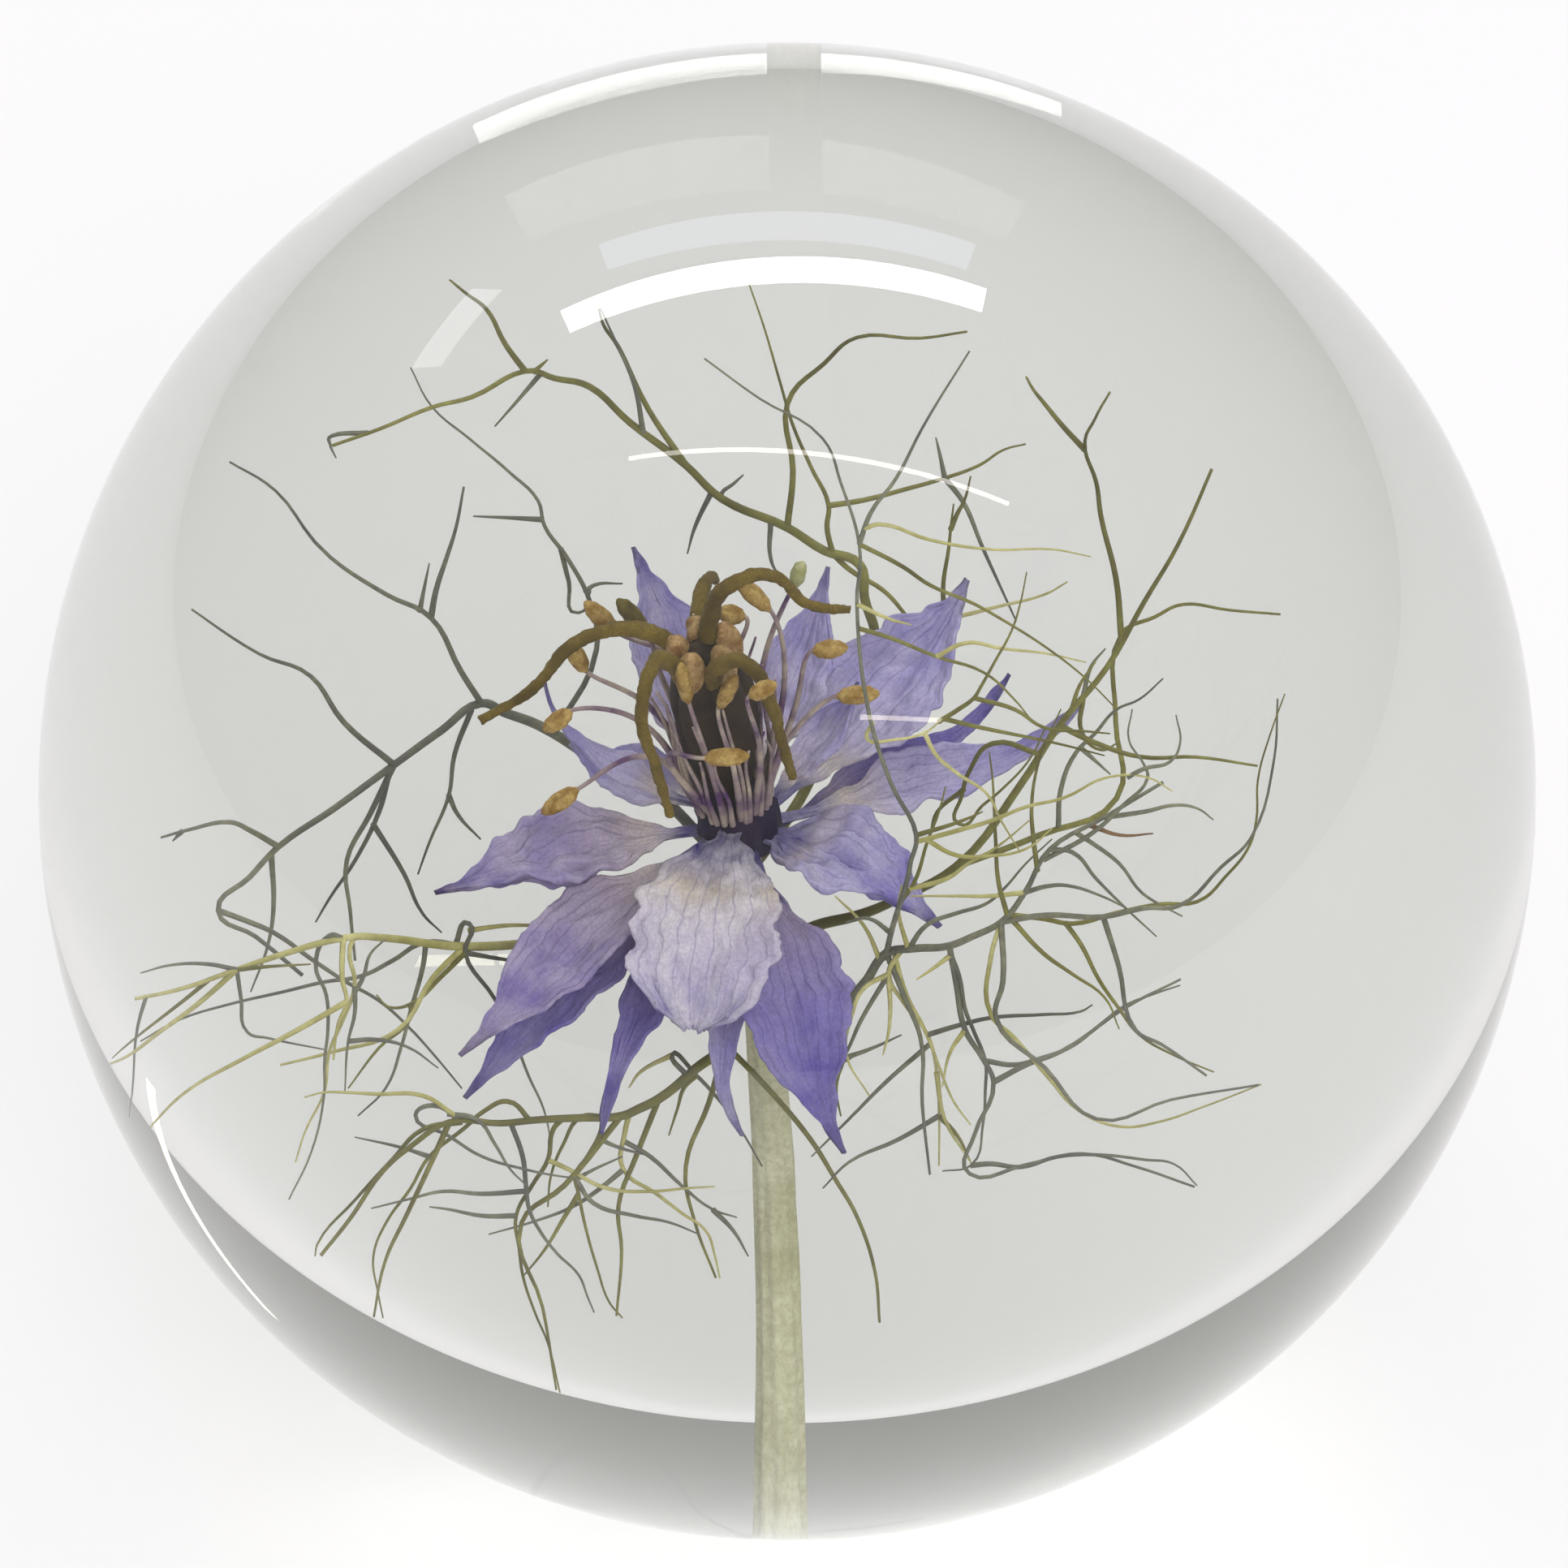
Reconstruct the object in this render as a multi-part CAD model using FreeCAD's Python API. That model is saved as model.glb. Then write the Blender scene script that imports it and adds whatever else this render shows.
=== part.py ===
import FreeCAD, Part
import math
import os
from FreeCAD import Vector

# A clear cast-resin paperweight: a ball with a ground flat base, cast round a dried
# love-in-a-mist flower that stands on its stem. Millimetres, +Z up. The origin is the
# middle of the flat base, and the flower's front looks along -Y, with +X on its right.

# Driving dimensions of the resin
ball_radius = 40.0
centre_height = 35.0        # the ball's centre above the ground base
base_edge_break = 0.5       # height of the small bevel round the base

# Driving dimensions of the stalk and the middle of the flower
stem_cover = 0.6            # resin left under the cut end of the stem
stem_foot_radius = 0.85
stem_neck_radius = 0.6
stem_sides = 8
stem_foot_x = -0.2
neck_height = 32.2          # top of the stem, where the receptacle sits
neck_x = -1.5
stem_bends = ((0.31, -0.2), (0.56, -0.4), (0.79, -0.9))     # (share of the neck's height, x)
lean_left = 9.0             # degrees that the flower's own axis leans to -X
lean_front = 5.0            # degrees that it leans to -Y
receptacle_height = 3.0
receptacle_radius = 1.5
receptacle_foot_radius = 0.9
receptacle_sides = 12

ovary_height = 8.0
ovary_lobes = 5
ovary_foot_radius = 0.95
ovary_belly_radius = 1.65
ovary_crown_radius = 0.85
ovary_groove = 0.78         # groove radius as a share of the lobe's
style_root_radius = 0.38
style_tip_radius = 0.16
style_sides = 4

# Driving dimensions of the sepals
claw_width = 0.55
claw_thickness = 0.34
blade_thickness = 0.22
tip_width = 0.16
tiers = {"low": 0.6, "middle": 1.3, "high": 2.0}    # height of a claw on the receptacle
claw_share = 0.2            # share of a sepal's length that is claw
claw_sink = 0.6             # how far a claw's root starts inside the receptacle's wall

# Stations along a sepal: (share of its length, share of its full width)
blade_stations = ((0.46, 0.92), (0.68, 0.88), (0.86, 0.34))

# Each sepal: azimuth from the front towards +X and rise in degrees, length, width,
# arch of its midrib, depth of its fold, and tier on the receptacle
sepals = {
    "sepal_front": (-11, -14, 10.7, 5.4, 1.0, 0.7, "high"),
    "sepal_right_low": (15, -29, 13.3, 4.2, 1.2, 0.7, "middle"),
    "sepal_left_long": (-50, -18, 13.8, 3.6, 0.9, 0.6, "middle"),
    "sepal_left_low": (-59, -31, 13.5, 3.2, 0.8, 0.5, "low"),
    "sepal_left_narrow": (-32, -33, 12.3, 2.2, 0.8, 0.4, "low"),
    "sepal_front_narrow": (-6, -33, 11.6, 1.8, 0.6, 0.4, "low"),
    "sepal_left": (-79, -8, 11.1, 4.4, 0.4, 0.7, "middle"),
    "sepal_left_curled": (-107, 25, 8.5, 1.7, -0.9, 0.3, "high"),
    "sepal_back_left": (-128, -5, 7.4, 3.2, 0.2, 0.5, "middle"),
    "sepal_tall_left": (-160, 25, 10.5, 3.6, -0.9, 0.7, "high"),
    "sepal_tall_right": (157, 28, 9.6, 2.8, -0.8, 0.5, "high"),
    "sepal_back_broad": (134, 20, 12.2, 4.6, -0.6, 0.8, "middle"),
    "sepal_back_slim": (124, 5, 11.6, 2.2, -0.3, 0.4, "low"),
    "sepal_right_long": (105, 8, 12.9, 3.0, -0.5, 0.6, "middle"),
    "sepal_right_front": (60, 4, 8.8, 4.6, 0.5, 0.7, "middle"),
    "sepal_right_upright": (112, 42, 6.6, 2.2, -0.4, 0.5, "high"),
    "sepal_back": (-176, 8, 7.7, 2.8, -0.2, 0.5, "low"),
}

# Each style: the points that it passes, from inside the ovary's crown to its curled tip.
# These and all later points of the flower are measured from the top of the stem.
styles = {
    "style_left": [(-1.9, -0.4, 9.1), (-3.5, -0.6, 11.0), (-5.1, -1.0, 11.6),
                   (-6.7, -1.6, 11.3), (-8.1, -2.2, 9.7), (-10.1, -3.0, 8.8)],
    "style_top": [(-1.4, -0.6, 9.2), (-1.4, -0.6, 11.8), (-0.7, -0.9, 13.8),
                  (0.9, -1.0, 14.4), (2.3, -1.2, 13.1), (3.9, -1.4, 13.0)],
    "style_front_left": [(-2.1, -1.2, 8.8), (-3.0, -2.6, 11.4), (-3.7, -4.2, 12.6),
                         (-4.1, -5.2, 11.0), (-3.5, -5.4, 8.6), (-2.9, -5.2, 6.0)],
    "style_front_right": [(-1.3, -1.3, 8.9), (-1.0, -2.8, 11.4), (0.0, -3.8, 12.3),
                          (0.9, -4.3, 10.7), (1.3, -4.5, 9.0), (1.7, -4.3, 7.1)],
    "style_back": [(-1.7, 0.2, 9.2), (-1.8, 1.6, 11.4), (-1.5, 3.4, 12.6),
                   (-1.1, 5.4, 12.0), (-0.9, 6.8, 10.0)],
}

# Driving dimensions of the stamens
filament_root_radius = 0.2
filament_tip_radius = 0.11
anther_radius = 0.36
anther_belly = 0.45         # share of the anther's length where it is widest
filament_sides = 4
filament_ring = 1.2         # radius on the receptacle's top where filaments stand

# Each stamen, in order round the receptacle from the front towards +X: the bend of its
# filament, and the two ends of its anther
stamens = [
    ((-0.5, -2.9, 6.4), (-1.1, -3.0, 9.4), (-0.4, -3.1, 11.2)),
    ((0.5, -2.8, 7.0), (0.0, -5.4, 12.1), (1.1, -5.4, 12.8)),
    ((1.5, -1.6, 6.6), (3.3, -2.2, 9.3), (5.0, -2.6, 9.8)),
    ((1.8, -0.4, 7.2), (2.4, -1.0, 10.5), (3.8, -1.1, 10.8)),
    ((1.4, 0.7, 7.6), (0.9, -0.2, 11.8), (-0.5, -0.1, 13.5)),
    ((0.7, 1.8, 7.8), (1.7, 2.0, 11.0), (2.1, 2.1, 12.2)),
    ((-0.5, 2.2, 6.8), (0.0, 2.4, 9.1), (-1.1, 2.5, 9.3)),
    ((-2.1, 2.2, 6.8), (-4.7, 2.0, 8.7), (-6.0, 2.2, 10.1)),
    ((-3.1, 1.6, 7.0), (-3.7, 0.7, 10.0), (-4.9, 0.5, 11.8)),
    ((-3.5, 0.5, 6.4), (-5.9, 0.2, 8.4), (-6.7, 0.1, 10.0)),
    ((-4.1, -0.6, 6.8), (-6.5, -1.6, 8.1), (-7.6, -2.0, 7.4)),
    ((-3.9, -1.8, 6.0), (-6.2, -2.8, 5.3), (-7.6, -3.2, 4.4)),
    ((-2.9, -2.9, 7.0), (-1.7, -4.6, 8.3), (0.1, -4.7, 8.5)),
    ((-1.5, -2.7, 6.8), (-2.2, -3.2, 9.8), (-2.6, -3.3, 12.0)),
]

# Driving dimensions of the thread-like bracts
rib_root_radius = 0.42
rib_tip_radius = 0.14
thread_root_radius = 0.2
thread_tip_radius = 0.08
thread_sides = 3

# Each bract: how far below the stem's top it grows, then its rib and its side threads.
# A side thread starts at a point of the rib or of an earlier thread.
bracts = {
    "bract_back": (1.0, [
        [(2.3, 4.0, 0.0), (4.5, 8.0, 2.8), (4.0, 9.2, 5.3), (1.5, 10.0, 6.3),
         (-2.0, 11.0, 8.3), (-5.5, 11.0, 12.3), (-8.0, 10.0, 14.3), (-11.5, 8.5, 14.1),
         (-15.5, 7.0, 13.8)],
        [(-2.0, 11.0, 8.3), (-4.5, 11.5, 13.8), (-5.5, 10.0, 17.8)],
        [(1.5, 10.0, 6.3), (1.5, 12.0, 10.3), (4.0, 12.0, 13.8), (8.0, 11.0, 15.3)],
        [(-8.0, 10.0, 14.3), (-10.0, 9.0, 19.3), (-12.0, 8.0, 22.8)],
    ]),
    "bract_left": (1.7, [
        [(-3.0, 4.0, -0.7), (-7.0, 6.5, 0.3), (-9.0, 6.5, 1.3), (-12.0, 5.0, -0.2),
         (-16.0, 3.0, -2.2), (-18.0, 2.0, -4.2), (-15.0, 1.0, -6.2)],
        [(-9.0, 6.5, 1.3), (-11.0, 6.5, 5.3), (-15.0, 6.0, 8.8), (-21.0, 4.0, 16.8)],
        [(-11.0, 6.5, 5.3), (-10.5, 7.5, 7.3), (-10.0, 8.5, 9.8)],
        [(-12.0, 5.0, -0.2), (-15.5, 4.0, 4.8), (-21.5, 2.0, 10.3)],
        [(-16.0, 3.0, -2.2), (-18.0, 2.5, -0.7), (-21.0, 1.0, -0.2)],
        [(-12.0, 5.0, -0.2), (-13.5, 3.5, -3.2), (-13.0, 2.5, -6.7)],
    ]),
    "bract_front_left": (2.4, [
        [(-4.5, -0.5, -3.0), (-10.0, -2.4, -2.4), (-15.0, -5.5, 0.3), (-19.5, -7.0, -0.2),
         (-24.5, -7.5, -1.7)],
        [(-19.5, -7.0, -0.2), (-23.0, -8.0, -2.7), (-26.5, -8.0, -5.2)],
        [(-15.0, -5.5, 0.3), (-15.0, -7.5, -1.2), (-15.5, -8.5, -3.2)],
        [(-10.0, -2.4, -2.4), (-12.5, -5.0, -4.2), (-17.0, -6.0, -5.2)],
        [(-15.0, -7.5, -1.2), (-19.5, -9.5, -2.7), (-24.5, -10.0, -6.7)],
    ]),
    "bract_front": (3.1, [
        [(-0.7, -3.6, -5.8), (-3.1, -6.4, -6.2), (-4.5, -7.5, -6.2), (-7.5, -8.5, -5.7),
         (-11.0, -9.5, -5.2), (-13.5, -10.0, -7.2), (-16.0, -11.0, -10.7)],
        [(-11.0, -9.5, -5.2), (-12.5, -10.0, -9.2), (-13.5, -10.0, -13.7)],
        [(-4.5, -7.5, -6.2), (-8.0, -8.5, -10.2), (-6.5, -9.0, -16.7)],
        [(-3.1, -6.4, -6.2), (-4.5, -8.0, -9.7), (-4.5, -9.0, -13.7)],
        [(-0.7, -3.6, -5.8), (-2.1, -7.0, -8.7), (-1.0, -8.0, -12.7)],
        [(-0.7, -3.6, -5.8), (2.3, -3.8, -9.7), (3.9, -3.4, -13.2), (4.5, -3.0, -17.2)],
    ]),
    "bract_right_front": (3.8, [
        [(2.5, -2.8, -5.2), (5.1, -4.6, -1.0), (7.5, -6.5, 0.8), (9.5, -7.0, 2.3),
         (11.5, -7.0, 5.8), (16.0, -6.0, 8.3)],
        [(7.5, -6.5, 0.8), (8.0, -7.0, -2.7), (9.0, -7.5, -4.7), (8.0, -7.5, -8.7),
         (12.0, -7.0, -8.2), (16.0, -7.0, -9.7)],
        [(9.0, -7.5, -4.7), (11.5, -7.0, -3.7), (16.0, -6.0, -1.2)],
        [(9.5, -7.0, 2.3), (13.5, -8.0, 3.3), (16.5, -8.0, 3.8), (19.5, -7.0, 6.3),
         (21.0, -5.0, 11.8)],
        [(9.5, -7.0, 2.3), (9.3, -9.0, -0.7), (13.0, -10.0, -4.7), (19.0, -8.0, -4.7)],
        [(13.5, -8.0, 3.3), (14.5, -8.5, -1.7), (17.0, -8.0, -4.2)],
        [(5.1, -4.6, -1.0), (6.3, -6.0, -3.7), (6.5, -6.0, -9.7)],
        [(5.1, -4.6, -1.0), (6.1, -8.0, 5.3), (6.5, -9.2, 8.3), (4.7, -10.0, 15.8),
         (4.5, -9.0, 23.8), (3.0, -7.0, 28.3), (-2.0, -2.5, 28.8)],
        [(4.5, -9.0, 23.8), (6.1, -8.0, 26.8), (9.5, -4.5, 31.8)],
    ]),
    "bract_right": (4.6, [
        [(4.0, -0.2, -2.7), (7.5, -0.6, -0.2), (11.5, -0.4, 6.3), (15.0, 0.4, 11.8),
         (18.5, 1.0, 18.8)],
        [(7.5, -0.6, -0.2), (13.1, 2.0, 0.8), (13.5, 4.0, 6.8), (16.0, 3.5, 8.8),
         (20.0, 2.0, 9.8)],
        [(13.5, 4.0, 6.8), (12.9, 6.0, 10.8), (12.5, 6.5, 13.8), (14.0, 5.0, 18.8)],
        [(12.5, 6.5, 13.8), (11.0, 7.5, 15.3), (10.5, 7.0, 17.3)],
        [(11.5, -0.4, 6.3), (14.5, -1.0, 5.3), (19.0, -1.5, 5.3)],
    ]),
}


def unit(vector):
    return Vector(vector).normalize()


def polygon_wire(points):
    return Part.makePolygon(points + [points[0]])


def faceted_solid(rings):
    """One closed solid of flat facets through rings of points, with flat ends."""
    facets = [Part.Face(polygon_wire(rings[0])), Part.Face(polygon_wire(rings[-1]))]
    for low, high in zip(rings, rings[1:]):
        for near in range(len(low)):
            far = (near + 1) % len(low)
            facets.append(Part.Face(polygon_wire([low[near], low[far], high[far]])))
            facets.append(Part.Face(polygon_wire([low[near], high[far], high[near]])))
    solid = Part.Solid(Part.Shell(facets))
    solid.fix(0, 0, 0)
    return solid if solid.Volume > 0 else solid.reversed()


def ring_round(centre, across, up, radius, sides):
    angles = [2 * math.pi * side / sides for side in range(sides)]
    return [centre + (across * math.cos(angle) + up * math.sin(angle)) * radius
            for angle in angles]


def strand(points, radii, sides):
    """A tapering strand through points, with a ring of few sides at each."""
    runs = [unit(b - a) for a, b in zip(points, points[1:])]
    headings = [runs[0]] + [unit(a + b) for a, b in zip(runs, runs[1:])] + [runs[-1]]
    across = unit(headings[0].cross(Vector(0.3, 1.0, 0.2)))
    rings = []
    for point, heading, radius in zip(points, headings, radii):
        across = unit(across - heading * across.dot(heading))
        rings.append(ring_round(point, across, heading.cross(across), radius, sides))
    return faceted_solid(rings)


def taper(first, last, count):
    return [first + (last - first) * step / (count - 1) for step in range(count)]


def neck_point():
    return Vector(neck_x, 0, neck_height)


def from_neck(point):
    """A point given from the top of the stem, in the part's own frame."""
    return neck_point() + Vector(*point)


def flower_axis():
    left = math.tan(math.radians(lean_left))
    front = math.tan(math.radians(lean_front))
    return unit(Vector(-left, -front, 1))


def flower_point(radius, angle, height):
    """A point round the flower's own axis, above the top of the stem."""
    axis = flower_axis()
    right = unit(Vector(0, 1, 0).cross(axis))
    front = unit(right.cross(axis))
    sideways = right * (radius * math.sin(angle)) + front * (radius * math.cos(angle))
    return neck_point() + axis * height + sideways


def make_ball():
    """The resin before the flower's cavity: the ball, its ground base and bevel."""
    def radius_at(height):
        return math.sqrt(ball_radius ** 2 - (centre_height - height) ** 2)

    base = Vector(radius_at(0) - base_edge_break, 0, 0)
    wall = Vector(radius_at(base_edge_break), 0, base_edge_break)
    side = Vector(ball_radius, 0, centre_height)
    top = Vector(0, 0, centre_height + ball_radius)
    edges = [Part.makeLine(Vector(0, 0, 0), base), Part.makeLine(base, wall),
             Part.Arc(wall, side, top).toShape(), Part.makeLine(top, Vector(0, 0, 0))]
    return Part.Face(Part.Wire(edges)).revolve(Vector(0, 0, 0), Vector(0, 0, 1), 360)


def make_stem():
    foot = Vector(stem_foot_x, 0, stem_cover)
    bends = [Vector(x, 0, share * neck_height) for share, x in stem_bends]
    top = neck_point() + flower_axis() * stem_neck_radius
    route = [foot] + bends + [top]
    radii = taper(stem_foot_radius, stem_neck_radius, len(route))
    return strand(route, radii, stem_sides)


def stem_point(drop):
    """A point on the stem's middle line, that far below the top of the stem."""
    share, x = stem_bends[-1]
    bend = Vector(x, 0, share * neck_height)
    return neck_point() + (bend - neck_point()) * (drop / (neck_height - bend.z))


def make_receptacle():
    levels = ((0.0, receptacle_foot_radius), (0.25, receptacle_radius), (1.0, receptacle_radius))
    rings = []
    for share, radius in levels:
        height = share * receptacle_height
        rings.append([flower_point(radius, 2 * math.pi * side / receptacle_sides, height)
                      for side in range(receptacle_sides)])
    return faceted_solid(rings)


def make_ovary():
    """The five-lobed seed capsule, standing on the receptacle's flat top."""
    levels = ((0.0, ovary_foot_radius), (0.22, 0.9 * ovary_belly_radius), (0.55, ovary_belly_radius),
              (0.85, 0.8 * ovary_belly_radius), (1.0, ovary_crown_radius))
    rings = []
    for share, radius in levels:
        ring = []
        for corner in range(2 * ovary_lobes):
            reach = radius if corner % 2 == 0 else radius * ovary_groove
            angle = math.pi * corner / ovary_lobes
            ring.append(flower_point(reach, angle, receptacle_height + share * ovary_height))
        rings.append(ring)
    return faceted_solid(rings)


def make_sepal(azimuth, rise, length, width, arch, fold, tier):
    """A folded blade on a narrow claw, lofted along an arched midrib to a drawn-out tip."""
    azimuth = math.radians(azimuth)
    rise = math.radians(rise)
    outward = Vector(math.sin(azimuth), -math.cos(azimuth), 0)
    across = Vector(math.cos(azimuth), math.sin(azimuth), 0)
    heading = outward * math.cos(rise) + Vector(0, 0, math.sin(rise))
    lift = heading.cross(across)
    centre = flower_point(0, 0, tiers[tier])
    root = centre + outward * (receptacle_radius - claw_sink)
    run = centre + heading * length - root

    stations = [(0.0, claw_width, claw_thickness), (claw_share, claw_width, claw_thickness)]
    stations += [(share, width * part, blade_thickness) for share, part in blade_stations]
    stations.append((1.0, tip_width, tip_width))
    rings = []
    for share, wide, thick in stations:
        middle = root + run * share + lift * (arch * 4 * share * (1 - share))
        edge_lift = fold * wide / width if wide > claw_width else 0.0
        half = across * (wide / 2)
        rings.append([middle - half + lift * edge_lift, middle + lift * (thick / 2),
                      middle + half + lift * edge_lift, middle - lift * (thick / 2)])
    return faceted_solid(rings)


def make_style(points):
    radii = taper(style_root_radius, style_tip_radius, len(points))
    return strand([from_neck(point) for point in points], radii, style_sides)


def make_stamen(angle, bend, anther_foot, anther_tip):
    """A thin filament from the receptacle's top, with a spindle-shaped anther on its end."""
    foot = flower_point(filament_ring, angle, receptacle_height)
    foot += flower_axis() * -filament_root_radius
    start, end = from_neck(anther_foot), from_neck(anther_tip)
    belly = start + (end - start) * anther_belly
    points = [foot, from_neck(bend), start, belly, end]
    radii = taper(filament_root_radius, filament_tip_radius, 3)
    radii += [anther_radius, filament_tip_radius]
    return strand(points, radii, filament_sides)


def make_bract(drop, arms):
    """A forked, thread-like leaf: a rib from the stem, and its side threads, in one piece."""
    arms = [[from_neck(point) for point in arm] for arm in arms]
    rib = [stem_point(drop)] + arms[0]
    solid = strand(rib, taper(rib_root_radius, rib_tip_radius, len(rib)), thread_sides)
    threads = [strand(arm, taper(thread_root_radius, thread_tip_radius, len(arm)), thread_sides)
               for arm in arms[1:]]
    return solid.fuse(threads).removeSplitter()


def one_solid(name, shape):
    if len(shape.Solids) != 1:
        print(name, "has", len(shape.Solids), "solids")
    return max(shape.Solids, key=lambda solid: solid.Volume)


def make_flower():
    """Every plant piece, each cut back to the face of the piece that carries it."""
    receptacle = make_receptacle()
    stem = one_solid("stem", make_stem().cut(receptacle))
    ovary = make_ovary()
    flower = {"stem": stem, "receptacle": receptacle, "ovary": ovary}
    for name, points in styles.items():
        flower[name] = one_solid(name, make_style(points).cut(ovary))
    for name, numbers in sepals.items():
        flower[name] = one_solid(name, make_sepal(*numbers).cut(receptacle))
    for place, points in enumerate(stamens):
        name = "stamen_%02d" % (place + 1)
        angle = 2 * math.pi * (place + 0.5) / len(stamens)
        flower[name] = one_solid(name, make_stamen(angle, *points).cut(receptacle))
    for name, (drop, arms) in bracts.items():
        flower[name] = one_solid(name, make_bract(drop, arms).cut(stem))
    return flower


def make_resin(flower):
    """The ball with the cavity that the flower leaves in it, cast round every piece."""
    return one_solid("resin_dome", make_ball().cut(list(flower.values())))


def main():
    os.makedirs("parts", exist_ok=True)
    flower = make_flower()
    flower["resin_dome"] = make_resin(flower)
    for name, shape in flower.items():
        shape.exportStep("parts/%s.step" % name)


main()
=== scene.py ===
import math
import random

import bpy
from mathutils import Matrix, Vector, noise


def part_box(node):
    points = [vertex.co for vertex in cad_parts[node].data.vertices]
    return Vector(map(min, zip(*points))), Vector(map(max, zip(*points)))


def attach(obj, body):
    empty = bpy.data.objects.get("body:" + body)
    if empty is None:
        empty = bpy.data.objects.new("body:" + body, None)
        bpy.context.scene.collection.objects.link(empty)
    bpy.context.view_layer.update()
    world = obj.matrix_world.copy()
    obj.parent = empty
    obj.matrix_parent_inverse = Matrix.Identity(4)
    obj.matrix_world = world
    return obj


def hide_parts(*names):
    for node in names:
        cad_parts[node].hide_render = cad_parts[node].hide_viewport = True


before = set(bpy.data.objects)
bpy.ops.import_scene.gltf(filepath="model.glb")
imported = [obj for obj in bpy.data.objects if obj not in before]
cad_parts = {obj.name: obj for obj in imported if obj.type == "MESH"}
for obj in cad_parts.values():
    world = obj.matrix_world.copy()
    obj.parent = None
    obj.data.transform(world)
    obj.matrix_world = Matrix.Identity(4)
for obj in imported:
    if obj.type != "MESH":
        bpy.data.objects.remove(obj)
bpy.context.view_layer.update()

# A clear cast-resin ball paperweight with a ground base, holding one dried
# love-in-a-mist flower. Sizes here are in millimetres and are turned into metres where
# a mesh is made. The flower's front looks along -Y.

MM = 0.001

# The resin, read from the frame
dome_low, dome_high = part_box("resin_dome")
BALL_RADIUS = (dome_high.x - dome_low.x) / 2 / MM
BALL_CENTRE_HEIGHT = dome_high.z / MM - BALL_RADIUS
BASE_BEVEL = 0.5
RESIN_INDEX = 1.5

# The stalk and the flower's own axis
NECK = Vector((-1.5, 0.0, 32.2))
LEAN_LEFT = math.radians(9)
LEAN_FRONT = math.radians(5)
RECEPTACLE_HEIGHT = 3.0
RECEPTACLE_RADIUS = 1.5
STEM_FOOT = Vector((-0.2, 0.0, 0.6))
STEM_BENDS = [Vector((x, 0, share * NECK.z)) for share, x in ((0.31, -0.2), (0.56, -0.4), (0.79, -0.9))]
STEM_FOOT_RADIUS = 0.85
STEM_NECK_RADIUS = 0.6
STEM_RIDGES = 9
OVARY_HEIGHT = 8.0
OVARY_LOBES = 5

# Camera: distance from the ball's middle, height above the horizon, lens and framing
CAMERA_DISTANCE = 280.0
CAMERA_ELEVATION = math.radians(40)
CAMERA_LENS = 119.16
CAMERA_SENSOR = 36.0
PHOTO_SIZE = 1932
BALL_LEFT_OF_MIDDLE = -4
BALL_BELOW_MIDDLE = 9


def srgb(red, green, blue):
    """A colour as it looks on screen, 0 to 255, as the linear colour that shaders take."""
    def linear(value):
        value /= 255
        return value / 12.92 if value <= 0.04045 else ((value + 0.055) / 1.055) ** 2.4
    return (linear(red), linear(green), linear(blue), 1.0)


# Small helpers for shader nodes
def put(tree, kind, values=None, **settings):
    node = tree.nodes.new(kind)
    for name, value in settings.items():
        setattr(node, name, value)
    for socket, value in (values or {}).items():
        node.inputs[socket].default_value = value
    return node


def join(tree, *pairs):
    for source, target in pairs:
        tree.links.new(source, target)


def ramp(tree, source, stops):
    """A colour ramp fed by source, with stops of (place, colour)."""
    node = put(tree, "ShaderNodeValToRGB")
    band = node.color_ramp
    while len(band.elements) < len(stops):
        band.elements.new(0.5)
    for element, (place, colour) in zip(band.elements, stops):
        element.position = place
        element.color = colour
    join(tree, (source, node.inputs["Fac"]))
    return node.outputs["Color"]


def mix_colour(tree, share, first, second):
    """Two colours or sockets mixed by a share, which is a socket or a number."""
    node = put(tree, "ShaderNodeMix", data_type="RGBA")
    for index, value in ((0, share), (6, first), (7, second)):
        if isinstance(value, bpy.types.NodeSocket):
            join(tree, (value, node.inputs[index]))
        else:
            node.inputs[index].default_value = value
    return node.outputs[2]


def new_material(name):
    material = bpy.data.materials.new(name)
    material.use_nodes = True
    tree = material.node_tree
    return material, tree, tree.nodes["Principled BSDF"]


def new_group(name, inputs, outputs):
    """An empty shader node group with named sockets of (name, kind, value)."""
    group = bpy.data.node_groups.new(name, "ShaderNodeTree")
    for label, kind, value in inputs:
        socket = group.interface.new_socket(label, in_out="INPUT", socket_type=kind)
        if value is not None:
            socket.default_value = value
    for label, kind in outputs:
        group.interface.new_socket(label, in_out="OUTPUT", socket_type=kind)
    return group, put(group, "NodeGroupInput"), put(group, "NodeGroupOutput")


def use_group(tree, group, values=None):
    node = put(tree, "ShaderNodeGroup", node_tree=group)
    for socket, value in (values or {}).items():
        node.inputs[socket].default_value = value
    return node


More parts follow.
